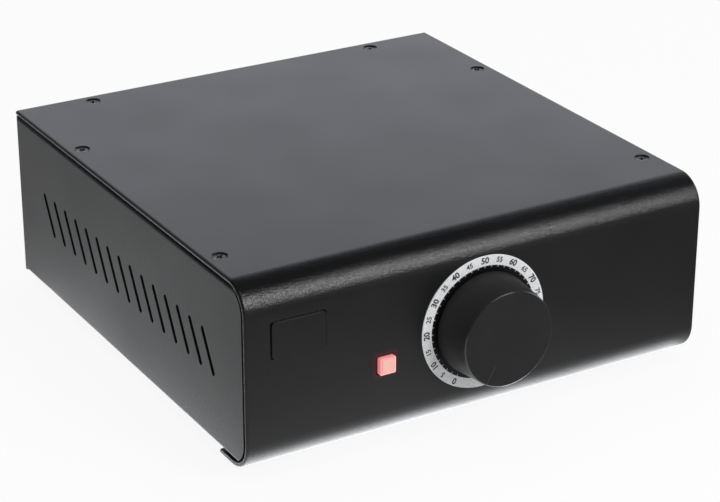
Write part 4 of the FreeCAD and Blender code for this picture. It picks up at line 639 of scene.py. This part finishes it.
def coverFinish():
    tree, shader = surface("coverPaint", "casePaint")
    spot = objectSpot(tree)
    axes = splitAxes(tree, spot)
    middle = (place["roof"] + place["sill"]) / 2
    spillFrom(tree, shader, spot)
    coatBends(tree, shader, spot, axes, middle)
    wearArris(tree, shader, spot, axes, middle)


coverFinish()


# one rounded section of the sheet as (across, depth) points, with guide points that keep its faces flat
def sheetSection(inset):
    thick, guide = cover["thickness"], cover["guide"]
    half = place["halfWidth"] - inset
    radius = min(cover["edge"], cover["edgeMost"] * (thick / 2 - inset))
    points = []
    for side, depth, start in ((1, inset + radius, -90), (1, thick - inset - radius, 0),
                               (-1, thick - inset - radius, 90), (-1, inset + radius, 180)):
        across = side * (half - radius)
        arc = []
        for step in range(cover["edgeSteps"] + 1):
            angle = math.radians(start + 90 * step / cover["edgeSteps"])
            arc.append((across + radius * math.cos(angle), depth + radius * math.sin(angle)))
        inner = across - side * guide
        if start in (-90, 90):
            arc.insert(0, (inner, arc[0][1]))
        else:
            arc.append((inner, arc[-1][1]))
        points += arc
    return points


# stations along the sheet from its back edge, over the top, down the front and under: (y, z, tilt, inset)
def sheetStations():
    front, rear, roof, sill = place["front"], place["rear"], place["roof"], place["sill"]
    bend, edge, guide, steps = cover["bend"], cover["edge"], cover["guide"], cover["edgeSteps"]
    lip = front + cover["lip"]
    ends = []
    for step in range(steps + 1):
        angle = math.pi / 2 * step / steps
        ends.append((edge * (1 - math.cos(angle)), edge * (1 - math.sin(angle))))
    stations = [(rear - back, roof, 0, inset) for back, inset in ends]
    stations += [(rear - edge - guide, roof, 0, 0), (front + bend + guide, roof, 0, 0)]
    for first, middle in ((0, roof - bend), (90, sill + bend)):
        for step in range(cover["bendSteps"] + 1):
            tilt = math.radians(first + 90 * step / cover["bendSteps"])
            stations.append((front + bend - bend * math.sin(tilt), middle + bend * math.cos(tilt), tilt, 0))
        if first == 0:
            stations += [(front, z, math.pi / 2, 0) for z in (roof - bend - guide, sill + bend + guide)]
    stations += [(front + bend + guide, sill, math.pi, 0)]
    stations += [(lip - back, sill, math.pi, inset) for back, inset in reversed(ends)]
    return stations


# countersunk holes, the badge's pocket and the holes for the button and the shaft
def coverCutters():
    ahead, through, above, sink = (cover[key] for key in ("ahead", "through", "above", "sink"))
    front, rim, hole = place["front"], cover["rim"], cover["hole"]
    tools = []
    for spots, level, up in ((topScrews, place["roof"], 1), (cover["lipScrews"], place["sill"], -1)):
        profile = [(0, up * above), (rim, up * above), (rim, 0), (hole, -up * sink), (hole, -up * through),
                   (0, -up * through)]
        tools += [turned(profile, (x, y, level), "z", segments=48) for x, y in spots]
    for key, wide, high, corner, depth in (
            ("badge", cover["badgeWidth"], cover["badgeHeight"], cover["badgeCorner"], cover["badgeDepth"]),
            ("mute", cover["muteHole"], cover["muteHole"], cover["muteCorner"], through)):
        x, _, z = place[key]
        tools.append(raised(roundedSquare(x, z, wide, high, corner, steps=8), front - ahead, front + depth))
    shaft = cover["shaftHole"]
    profile = [(0, -ahead), (shaft, -ahead), (shaft, through), (0, through)]
    return tools + [turned(profile, place["dial"])]


def makeCover():
    bm = bmesh.new()
    rings = []
    for y, z, tilt, inset in sheetStations():
        into, down = math.sin(tilt), -math.cos(tilt)
        rings.append([bm.verts.new(metres((x, y + into * depth, z + down * depth)))
                      for x, depth in sheetSection(inset)])
    for first, second in zip(rings, rings[1:]):
        for index in range(len(first)):
            after = (index + 1) % len(first)
            bm.faces.new((first[index], first[after], second[after], second[index]))
    bm.faces.new(rings[0])
    bm.faces.new(rings[-1])
    item = newPiece("coverSheet", meshOf(bm, "coverSheet"), "coverPaint")
    cut(item, coverCutters())
    smooth(item.data)
    addBevel(item, cover["rimEdge"], 2, cutCrease)
    settle(item, "coverPaint")
    ready(item, body, ["cover"])


makeCover()
report("cover")

tray = {
    "edge": 0.35, "fineShare": 0.12, "wall": 106.9, "bendAt": 105, "spread": 1.19, "cornerAt": -89.5,
    "cornerShare": 0.975, "slotFrom": 36, "slotTo": 55, "slotFront": -90, "slotBack": 102, "panelEdge": 0.2,
}


# the walls' outlines are rounded more than the slots and holes
def trayWeight(line):
    middle = (line.verts[0].co + line.verts[1].co) / 2 / mm
    high = tray["slotFrom"] < middle.z < tray["slotTo"]
    inSlots = high and tray["slotFront"] < middle.y < tray["slotBack"]
    return 1 if abs(middle.x) > tray["wall"] and not inSlots else tray["fineShare"]


# the painted walls stand almost flush with the cover's edges, behind an even gap at the front corners
def trayFit(bm):
    for point in bm.verts:
        across, depth = point.co.x / mm, point.co.y / mm
        if abs(across) > tray["bendAt"]:
            out = tray["bendAt"] + (abs(across) - tray["bendAt"]) * tray["spread"]
            point.co.x = math.copysign(out, across) * mm
        if depth < tray["cornerAt"]:
            point.co.y = (tray["cornerAt"] + (depth - tray["cornerAt"]) * tray["cornerShare"]) * mm


badge = {"gap": 1.05, "tight": 0.03, "face": 0.04, "back": 0.88, "corner": 1.3, "edge": 0.12}


# the plate sits hard against the right and lower walls of its pocket
def makeBadge():
    x, y, z = place["badge"]
    shift = (badge["gap"] - badge["tight"]) / 2
    wide = cover["badgeWidth"] - badge["gap"] - badge["tight"]
    high = cover["badgeHeight"] - badge["gap"] - badge["tight"]
    outline = roundedSquare(x + shift, z - shift, wide, high, badge["corner"], steps=8)
    plate = raised(outline, y + badge["face"], y + badge["back"])
    item = newPiece("badgePlate", meshOf(plate, "badgePlate"), "casePaint")
    addBevel(item, badge["edge"])
    ready(item, body, ["badge_plate"])


easedCopy("chassis_tray", "chassisTray", "chassisPaint", tray["edge"], 4,
          fine=trayWeight, fitted=trayFit)
easedCopy("rear_panel", "rearPanel", "chassisPaint", tray["panelEdge"])
makeBadge()
report("tray, rear panel and badge plate")


screw = {
    "head": 2.85, "headRim": 0.15, "cone": 1.5, "shank": 1.5, "length": 8, "edge": 0.04, "sunk": 0.5,
    "crossWidth": 0.85, "crossSpan": 3.3, "crossDepth": 1.1, "above": 1, "mostTurn": 1.5,
}


# a cross recess, seen from above, centred on the axis
def crossOutline(width, span):
    half, reach = width / 2, span / 2
    return [(half, half), (half, reach), (-half, reach), (-half, half), (-reach, half), (-reach, -half),
            (-half, -half), (-half, -reach), (half, -reach), (half, -half), (reach, -half), (reach, half)]


# turns a form, made about the origin, round one axis
def turnForm(bm, degrees, axis):
    turn = Matrix.Rotation(math.radians(degrees), 3, axis)
    bmesh.ops.rotate(bm, verts=bm.verts, cent=(0, 0, 0), matrix=turn)


def screwPattern():
    head, shank, length = screw["head"], screw["shank"], screw["length"]
    profile = [(0, 0), (head, 0), (head, -screw["headRim"]), (shank, -screw["cone"]), (shank, -length),
               (0, -length)]
    mesh = meshOf(turned(profile, (0, 0, 0), "z", segments=48), "screwPattern")
    item = newPiece("screwPattern", mesh, "screwZinc")
    outline = crossOutline(screw["crossWidth"], screw["crossSpan"])
    recess = raised(outline, -screw["above"], screw["crossDepth"])
    turnForm(recess, -90, "X")
    cut(item, [recess])
    addBevel(item, screw["edge"], 2, cutCrease)
    settle(item)
    pattern = item.data
    bpy.data.objects.remove(item)
    return pattern


def makeScrews():
    upright = screwPattern()
    upended = upright.copy()
    upended.transform(Matrix.Rotation(math.pi, 4, "X"))
    turn = (0, 0, screw["mostTurn"])
    for name, pattern, spots, level, seed in (
            ("coverScrews", upright, topScrews, place["roof"] - screw["sunk"], 4),
            ("lipScrews", upended, cover["lipScrews"], place["sill"] + screw["sunk"], 7)):
        item = placeCopies(name, pattern, [(x, y, level) for x, y in spots], "screwZinc", turn, seed)
        ready(item, body, ["cover_screws"])


makeScrews()
report("cover screws")


dial = {
    "radius": 28.85, "thickness": 0.5, "ring": 24.5, "ringSoft": 0.03, "edge": 0.12, "bore": 4.7,
    "from": -150, "to": 150, "steps": 40, "last": 100, "every": 5, "ink": 0.02, "curveSteps": 4,
    "tickLength": 0.85, "tickWidth": 0.3, "tickLap": 0.05,
    "numberRadius": 26.85, "tenSize": 3.65, "fiveSize": 3.05, "tenBold": 0.12, "fiveBold": 0.08,
    "black": (0.002, 0.002, 0.002), "silver": (0.72, 0.73, 0.74), "fleck": (0.8, 1.12), "grain": 1700,
    "rough": (0.34, 0.5), "specular": 0.25, "strength": 0.4, "relief": 0.00002,
}


# the printed plate: silver outside the ring and black inside it; that black is darker than ink, partly
# print and partly painted shade of the knob round its base
def dialFinish():
    tree, shader = surface("dialPrint")
    spot = objectSpot(tree)
    ring, soft = dial["ring"], dial["ringSoft"]
    bright = ranged(tree, fromAxis(tree, spot), (ring - soft) * mm, (ring + soft) * mm)
    grain = noise(tree, spot, dial["grain"])
    silver = scaled(tree, dial["silver"], ranged(tree, grain, *noiseSpan, *dial["fleck"]))
    relieved(tree, shader, grain, dial["strength"], dial["relief"])
    feed(shader, {
        "Base Color": mixedColour(tree, bright, rgb(dial["black"]), silver),
        "Roughness": ranged(tree, grain, 0, 1, *dial["rough"]), "Specular IOR Level": dial["specular"]})


dialFinish()


def makeDialPlate():
    radius, thick, bore, ring = dial["radius"], dial["thickness"], dial["bore"], dial["ring"]
    points = [(bore, 0), (radius, 0), (radius, -thick), (ring, -thick), (bore, -thick), (bore, 0)]
    plate = turned(rounded(points, [0, 0, dial["edge"], 0, 0, 0]), place["dial"], segments=192)
    item = newPiece("dialPlate", meshOf(plate, "dialPlate"), "dialPrint")
    ready(item, body, ["dial_plate"])


# the scale: small bars set round a circle, from the first angle to the last
def scaleTree():
    tree = bpy.data.node_groups.new("scaleMarks", "GeometryNodeTree")
    given = treeInputs(tree, {"Marks": "Int", "First angle": "Float", "Step angle": "Float",
                              "Radius": "Float", "Bar": "Vector", "Finish": "Material"})
    index = addNode(tree, "GeometryNodeInputIndex").outputs[0]
    turn = calc(tree, "MULTIPLY_ADD", index, given["Step angle"], given["First angle"])
    sine, cosine = calc(tree, "SINE", turn), calc(tree, "COSINE", turn)
    spot = addNode(tree, "ShaderNodeCombineXYZ", {0: sine, 2: cosine}).outputs[0]
    spot = scaled(tree, spot, given["Radius"])
    points = addNode(tree, "GeometryNodePoints", {"Count": given["Marks"], "Position": spot}).outputs[0]
    bar = addNode(tree, "GeometryNodeMeshCube", {"Size": given["Bar"]}).outputs[0]
    spin = addNode(tree, "ShaderNodeCombineXYZ", {1: turn}).outputs[0]
    return instanced(tree, points, bar, spin, given["Finish"])


def makeScale():
    item = addObject("dialTicks", bpy.data.meshes.new("dialTicks"))
    modifier = item.modifiers.new("scale", "NODES")
    modifier.node_group = scaleTree()
    first, last = math.radians(dial["from"]), math.radians(dial["to"])
    width, ink, length = dial["tickWidth"], dial["ink"], dial["tickLength"]
    setInputs(modifier, {
        "Marks": dial["steps"] + 1, "First angle": first, "Step angle": (last - first) / dial["steps"],
        "Radius": (dial["ring"] - length / 2 + dial["tickLap"]) * mm,
        "Bar": metres((width, ink, length)), "Finish": made["inkWhite"]})
    settle(item)
    x, y, z = place["dial"]
    item.data.transform(Matrix.Translation(metres((x, y - dial["thickness"] - ink / 2, z))))
    ready(item, body, ())


def numeralMesh(value, size, bold):
    curve = bpy.data.curves.new("numeral", "FONT")
    curve.body = str(value)
    curve.size = size * mm
    curve.offset = bold * mm
    curve.align_x = "CENTER"
    curve.align_y = "CENTER"
    curve.extrude = dial["ink"] / 2 * mm
    curve.resolution_u = dial["curveSteps"]
    item = addObject("numeral", curve)
    mesh = evaluated(item)
    bpy.data.objects.remove(item)
    return mesh


def makeNumerals():
    bm = bmesh.new()
    x, y, z = place["dial"]
    centre = Matrix.Translation(metres((x, y - dial["thickness"] - dial["ink"] / 2, z)))
    outward = Matrix.Translation((0, 0, dial["numberRadius"] * mm))
    stand = Matrix.Rotation(math.radians(90), 4, "X")
    for value in range(0, dial["last"] + 1, dial["every"]):
        kind = "five" if value % (2 * dial["every"]) else "ten"
        mesh = numeralMesh(value, dial[kind + "Size"], dial[kind + "Bold"])
        middle = sum((v.co for v in mesh.vertices), Vector()) / len(mesh.vertices)
        heights = [v.co.y for v in mesh.vertices]
        mesh.transform(Matrix.Translation((-middle.x, -(min(heights) + max(heights)) / 2, 0)))
        angle = math.radians(dial["from"] + (dial["to"] - dial["from"]) * value / dial["last"])
        mesh.transform(centre @ Matrix.Rotation(angle, 4, "Y") @ outward @ stand)
        bm.from_mesh(mesh)
    item = newPiece("dialNumerals", meshOf(bm, "dialNumerals"), "inkBlack")
    ready(item, body, ())


makeDialPlate()
makeScale()
makeNumerals()
report("dial")


knob = {
    "radius": 20.6, "base": 22.2, "face": -19, "back": -1.1, "skirt": 10, "skirtBack": -9,
    "bore": 3.03, "boreEnd": -16.5, "backEdge": 0.3, "innerEdge": 0.2,
    "rim": 0.5, "rimEdge": 0.12, "rimGloss": 1.8, "rimRough": 0.2, "sharp": 25, "turn": -150, "above": 1,
    "pointerFrom": 12.1, "pointerTo": 20.3, "pointerWidth": 0.62, "pointerDepth": 0.4, "pointerInlay": 0.25,
    "grub": 1.55, "grubBack": -11, "grubReach": 30,
}


# satin all over, with a brighter cut along the front rim
def knobFinish():
    tree, shader = surface("knobCut", "knobSatin")
    spot = objectSpot(tree)
    outer = calc(tree, "GREATER_THAN", fromAxis(tree, spot), (knob["radius"] - knob["rim"]) * mm)
    rimBack = (place["dial"][1] + knob["face"] + knob["rim"]) * mm
    rim = calc(tree, "MULTIPLY", outer, calc(tree, "LESS_THAN", splitAxes(tree, spot)[1], rimBack))
    gloss = ranged(tree, rim, 0, 1, finishes["knobSatin"]["ior"], knob["rimGloss"])
    feed(shader, {"IOR": gloss})
    roughened(tree, shader, rim, knob["rimRough"])


knobFinish()


# the pointer's straight line as a bar from y start to y end
def pointerBar(start, end):
    wide, low, high = knob["pointerWidth"] / 2, knob["pointerFrom"], knob["pointerTo"]
    return raised([(-wide, low), (wide, low), (wide, high), (-wide, high)], start, end)


def makeKnob():
    radius, face, back, rim = knob["radius"], knob["face"], knob["back"], knob["rim"]
    bore, boreEnd, skirt, skirtBack = knob["bore"], knob["boreEnd"], knob["skirt"], knob["skirtBack"]
    points = [(0, face), (radius - rim, face), (radius, face + rim), (knob["base"], back), (skirt, back),
              (skirt, skirtBack), (bore, skirtBack), (bore, boreEnd), (0, boreEnd)]
    edge, inner = knob["rimEdge"], knob["innerEdge"]
    profile = rounded(points, [0, edge, edge, knob["backEdge"], inner, 0, inner, 0, 0])
    item = newPiece("volumeKnob", meshOf(turned(profile, (0, 0, 0), segments=192), "volumeKnob"), "knobCut")
    floor = face + knob["pointerDepth"]
    groove = pointerBar(face - knob["above"], floor)
    grub, reach = knob["grub"], knob["grubReach"]
    hole = turned([(0, 0), (grub, 0), (grub, reach), (0, reach)], (0, 0, 0), segments=32)
    turnForm(hole, 90, "Z")
    bmesh.ops.translate(hole, verts=hole.verts, vec=(0, knob["grubBack"] * mm, 0))
    cut(item, [groove, hole])
    smooth(item.data, knob["sharp"])
    line = meshOf(pointerBar(floor, floor - knob["pointerInlay"]), "knobPointer")
    line = newPiece("knobPointer", line, "pointerPaint")
    move = Matrix.Translation(metres(place["dial"])) @ Matrix.Rotation(math.radians(knob["turn"]), 4, "Y")
    for piece in (item, line):
        piece.data.transform(move)
    ready(item, "volume_control", ["volume_knob"])
    ready(line, "volume_control", ())


makeKnob()
report("knob")


button = {
    "side": 7.2, "corner": 0.6, "face": -2.1, "back": 3.6, "edge": 0.22,
    "step": 5.3, "stepHeight": 0.35, "stepIn": 0.5, "stepEdge": 0.2,
    "stem": 1.15, "stemAt": 1.6, "behind": 1,
    "middle": (0.71, 0.385, 0.33), "flank": (0.62, 0.19, 0.20), "flankWidth": 1.3, "flankGlow": 0.45,
    "rim": (0.85, 0.62, 0.64), "rimFrom": 0.38, "rimTo": 0.14, "holeShade": 0.08, "holeSoft": 0.3,
    "haze": 900, "glow": (0.19, 0.25), "rough": 0.3,
}


# lit through: pale in the middle, redder at the sides, a bright lower and right edge, and painted shade on
# the part inside its hole
def buttonFinish():
    tree, shader = surface("buttonLit")
    spot = objectSpot(tree)
    local = vector(tree, "SUBTRACT", spot, metres(place["mute"]))
    axes, sides = splitAxes(tree, local), splitAxes(tree, vector(tree, "ABSOLUTE", local))
    half, soft = button["side"] / 2, button["holeSoft"]
    outer = calc(tree, "MAXIMUM", sides[0], sides[2])
    toSide = ranged(tree, outer, (half - button["flankWidth"]) * mm, half * mm)
    lowRight = calc(tree, "MAXIMUM", axes[0], calc(tree, "MULTIPLY", axes[2], -1))
    rim = ranged(tree, lowRight, (half - button["rimFrom"]) * mm, (half - button["rimTo"]) * mm)
    warm = mixedColour(tree, toSide, rgb(button["middle"]), rgb(button["flank"]))
    # painted shade: the cap's colour and glow drop to a small share inside the panel's hole
    within = ranged(tree, axes[1], -soft * mm, soft * mm, 1, button["holeShade"])
    colour = scaled(tree, mixedColour(tree, rim, warm, rgb(button["rim"])), within)
    level = ranged(tree, noise(tree, spot, button["haze"]), 0, 1, *button["glow"])
    level = calc(tree, "MULTIPLY_ADD", toSide, button["flankGlow"], level)
    feed(shader, {"Base Color": colour, "Emission Color": colour, "Emission Strength": level,
                  "Roughness": button["rough"]})


buttonFinish()


# a block of the lit cap with rounded corners
def litBlock(name, side, start, end, edge, segments):
    x, _, z = place["mute"]
    outline = roundedSquare(x, z, side, side, button["corner"])
    item = newPiece(name, meshOf(raised(outline, start, end), name), "buttonLit")
    addBevel(item, edge, segments, cutCrease)
    settle(item)
    return item


def makeButton():
    x, y, z = place["mute"]
    face, back = y + button["face"], y + button["back"]
    item = litBlock("muteButton", button["side"], face, back, button["edge"], 4)
    step = litBlock("muteStep", button["step"], face - button["stepHeight"], face + button["stepIn"],
                    button["stepEdge"], 3)
    combine(item, step, "UNION")
    stem = roundedSquare(x, z, 2 * button["stem"], 2 * button["stem"], 0)
    cut(item, [raised(stem, y + button["stemAt"], back + button["behind"])])
    smooth(item.data)
    ready(item, "mute_key", ["mute_button"])


makeButton()


# the return spring between the button and the switch, with a mesh of its own
def makeSpring():
    bm = bmesh.new()
    bm.from_mesh(frame["nodes"]["mute_spring"].data)
    bmesh.ops.remove_doubles(bm, verts=bm.verts, dist=doubles)
    item = newPiece("muteSpring", plainMesh(bm, "muteSpring"), "zinc")
    ready(item, body, ["mute_spring"])
    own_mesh(item)


makeSpring()
report("mute button")


foot = {
    "height": 7, "top": 8.5, "bottom": 7.5, "well": 3.8, "web": 3, "hole": 2.2,
    "edge": 0.6, "wellEdge": 0.3, "topEdge": 0.2,
    "spots": [(x, y, 0) for x in (-87, 87) for y in (-65.5, 94.5)],
}


def makeFeet():
    height, hole, well = foot["height"], foot["hole"], foot["well"]
    web = height - foot["web"]
    points = [(hole, web), (well, web), (well, 0), (foot["bottom"], 0), (foot["top"], height),
              (hole, height), (hole, web)]
    profile = rounded(points, [0, 0, foot["wellEdge"], foot["edge"], foot["topEdge"], 0, 0])
    pattern = meshOf(turned(profile, (0, 0, 0), "z"), "footPattern")
    pattern.shade_smooth()
    ready(placeCopies("rubberFeet", pattern, foot["spots"], "footRubber"), body, ["feet"])


makeFeet()
report("feet")


# CAD forms with eased edges: node, finish, edge and slot of each piece
rear = {
    "inletHousing": ("inlet_housing", "blackPlastic", 0.3, "black_plastic"),
    "fuseDrawer": ("fuse_drawer", "blackPlastic", 0.2, "black_plastic"),
    "powerFrame": ("power_switch_body", "blackPlastic", 0.3, "black_plastic"),
    "powerRocker": ("power_rocker", "rockerGloss", 0.3, "rocker_plastic"),
    "selectorSlider": ("voltage_selector_slider", "selectorRed", 0.25, "selector_red"),
    "liftSlider": ("ground_lift_slider", "rockerGloss", 0.25, "rocker_plastic"),
    "socketShells": ("socket_shells", "shellTin", 0.12, "shell_tin"),
    "socketInserts": ("socket_inserts", "blackPlastic", 0, "black_plastic"),
    "jackScrews": ("socket_jackscrews", "zinc", 0.25, "zinc"),
    "inletBlades": ("inlet_blades", "nickelBrass", 0.25, "bush_brass"),
    "rearScrews": ("rear_panel_screws", "blackZinc", 0.15, "black_screw"),
}
for name, (node, finish, edge, slot) in rear.items():
    easedCopy(node, name, finish, edge)
report("rear fittings")


# lengths in metres, but the footprint's in millimetres
room = {
    "floorHalf": 12, "floorColour": (0.95, 0.95, 0.95), "white": 0.985, "shadowKept": 0.08,
    "tint": (0.99, 1.0, 1.02), "footprint": (107.5, 102.5, 0), "glow": 2.9, "glowReach": 0.0035,
    "glowPower": -2, "halo": 0.75, "haloReach": 0.04, "haloSpan": (-0.02, 0.11), "haloLeast": 0.45,
    "farDirection": (-0.6, 1, 0),
    "farLevels": ((-0.30, 0.20), (-0.22, 0.25), (-0.15, 0.39), (0.12, 0.42), (0.22, 0.54), (0.35, 0.55)),
    "fill": 0.25, "backdropTint": (0.955, 0.985, 1.075), "backdrop": 1.6, "dark": 0.01,
    "backdropTop": (0.31, 0.60), "backdropBehind": (-0.5, 0.2), "frontLevel": 0.1,
    "backdropLeft": (-0.3, 0.02), "leftLevel": 0.03, "aim": (0, 0, 0.04),
    "lamps": {
        "key": {"at": (0.44, -1.05, 0.72), "size": (0.62, 0.53), "power": 10, "shows": True},
        "overhead": {"at": (0, 0.1, 1.9), "size": (2.2, 2.2), "power": 20, "shows": False},
        "left": {"at": (-1.7, -0.6, 0.7), "size": (1.2, 1.2), "power": 5, "shows": False},
    },
}


def emptyTree(owner):
    owner.use_nodes = True
    owner.node_tree.nodes.clear()
    return owner.node_tree


# rays from the camera, through glass too
def seenDirectly(tree, path):
    return calc(tree, "MAXIMUM", path["Is Camera Ray"], path["Is Transmission Ray"])


def glowing(tree, kind, colour, strength):
    return addNode(tree, kind, {"Color": rgb(colour), "Strength": strength}).outputs[0]


# the floor that gloss mirrors: a painted pool of light at the case's foot with a painted halo round it, and
# paler with distance
def mirroredFloor(tree):
    spot = objectSpot(tree)
    away = outside(tree, spot, (0, 0, 0), room["footprint"])
    near = calc(tree, "MULTIPLY_ADD", away, 1 / room["glowReach"], 1)
    near = calc(tree, "POWER", near, room["glowPower"])
    halo = calc(tree, "EXPONENT", calc(tree, "MULTIPLY", away, -1 / room["haloReach"]))
    along = ranged(tree, splitAxes(tree, spot)[0], *room["haloSpan"], 1, room["haloLeast"])
    halo = calc(tree, "MULTIPLY", halo, along)
    levels = room["farLevels"]
    first, last = levels[0][0], levels[-1][0]
    depth = vector(tree, "DOT_PRODUCT", spot, room["farDirection"])
    ramp = addNode(tree, "ShaderNodeValToRGB", {"Fac": ranged(tree, depth, first, last)})
    while len(ramp.color_ramp.elements) < len(levels):
        ramp.color_ramp.elements.new(0.5)
    for stop, (reach, amount) in zip(ramp.color_ramp.elements, levels):
        stop.position = (reach - first) / (last - first)
        stop.color = rgb([amount] * 3)
    strength = calc(tree, "MULTIPLY_ADD", halo, room["halo"], ramp.outputs[0])
    strength = calc(tree, "MULTIPLY_ADD", near, room["glow"], strength)
    return glowing(tree, "ShaderNodeEmission", room["tint"], strength)


# white to the camera and through glass; gloss sees the mirrored floor with its painted pool of light; else
# plain paper that keeps a share of the shadow
def makeFloor():
    bm = bmesh.new()
    bmesh.ops.create_grid(bm, x_segments=1, y_segments=1, size=room["floorHalf"])
    item = addObject("floor", plainMesh(bm, "floor"))
    material = bpy.data.materials.new("floorPaper")
    tree = emptyTree(material)
    path = addNode(tree, "ShaderNodeLightPath").outputs
    paper = addNode(tree, "ShaderNodeBsdfDiffuse", {"Color": rgb(room["floorColour"])}).outputs[0]
    white = glowing(tree, "ShaderNodeEmission", [room["white"]] * 3, 1)
    share = calc(tree, "MULTIPLY", seenDirectly(tree, path), 1 - room["shadowKept"])
    plain = mixedShader(tree, share, paper, white)
    mix = mixedShader(tree, path["Is Glossy Ray"], plain, mirroredFloor(tree))
    addNode(tree, "ShaderNodeOutputMaterial", {"Surface": mix})
    item.data.materials.append(material)


# a white backdrop behind, dark above; gloss sees it, the rest gets an even fill
def makeWorld():
    world = bpy.data.worlds.new("room")
    bpy.context.scene.world = world
    tree = emptyTree(world)
    axes = splitAxes(tree, addNode(tree, "ShaderNodeTexCoord").outputs["Generated"])
    wall = 1
    for axis, span, low, high in (
            (2, room["backdropTop"], room["backdrop"], room["dark"]),
            (1, room["backdropBehind"], room["frontLevel"], 1),
            (0, room["backdropLeft"], room["leftLevel"], 1)):
        wall = calc(tree, "MULTIPLY", wall, ranged(tree, axes[axis], *span, low, high, "SMOOTHSTEP"))
    backdrop = glowing(tree, "ShaderNodeBackground", room["backdropTint"], wall)
    fill = glowing(tree, "ShaderNodeBackground", (1, 1, 1), room["fill"])
    white = glowing(tree, "ShaderNodeBackground", [room["white"]] * 3, 1)
    path = addNode(tree, "ShaderNodeLightPath").outputs
    glossy = mixedShader(tree, path["Is Glossy Ray"], fill, backdrop)
    mix = mixedShader(tree, seenDirectly(tree, path), glossy, white)
    addNode(tree, "ShaderNodeOutputWorld", {"Surface": mix})


def makeLamps():
    for name, lamp in room["lamps"].items():
        data = bpy.data.lights.new(name, "AREA")
        data.shape = "RECTANGLE"
        data.size, data.size_y = lamp["size"]
        data.energy = lamp["power"]
        item = addObject(name, data)
        item.location = lamp["at"]
        aim = Vector(room["aim"]) - Vector(lamp["at"])
        item.rotation_euler = aim.to_track_quat("-Z", "Y").to_euler()
        item.visible_camera = False
        item.visible_glossy = lamp["shows"]


# degrees, then millimetres; the clip distances are in metres
view = {
    "azimuth": -30.33, "elevation": 24.22, "roll": 0.068, "at": (-470.9, -809.7, 458.2), "lens": 117.58,
    "sensor": 36, "clip": (0.02, 50),
}


def makeCamera():
    data = bpy.data.cameras.new("camera")
    data.lens = view["lens"]
    data.sensor_width = view["sensor"]
    data.sensor_fit = "HORIZONTAL"
    data.clip_start, data.clip_end = view["clip"]
    item = addObject("camera", data)
    turn, lift, roll = (math.radians(view[key]) for key in ("azimuth", "elevation", "roll"))
    back = Vector((math.sin(turn) * math.cos(lift), -math.cos(turn) * math.cos(lift), math.sin(lift)))
    item.rotation_mode = "QUATERNION"
    item.rotation_quaternion = (-back).to_track_quat("-Z", "Y") @ Euler((0, 0, roll)).to_quaternion()
    item.location = metres(view["at"])
    bpy.context.scene.camera = item


makeFloor()
makeWorld()
makeLamps()
makeCamera()
bpy.context.scene.view_settings.view_transform = "Standard"
report("room")
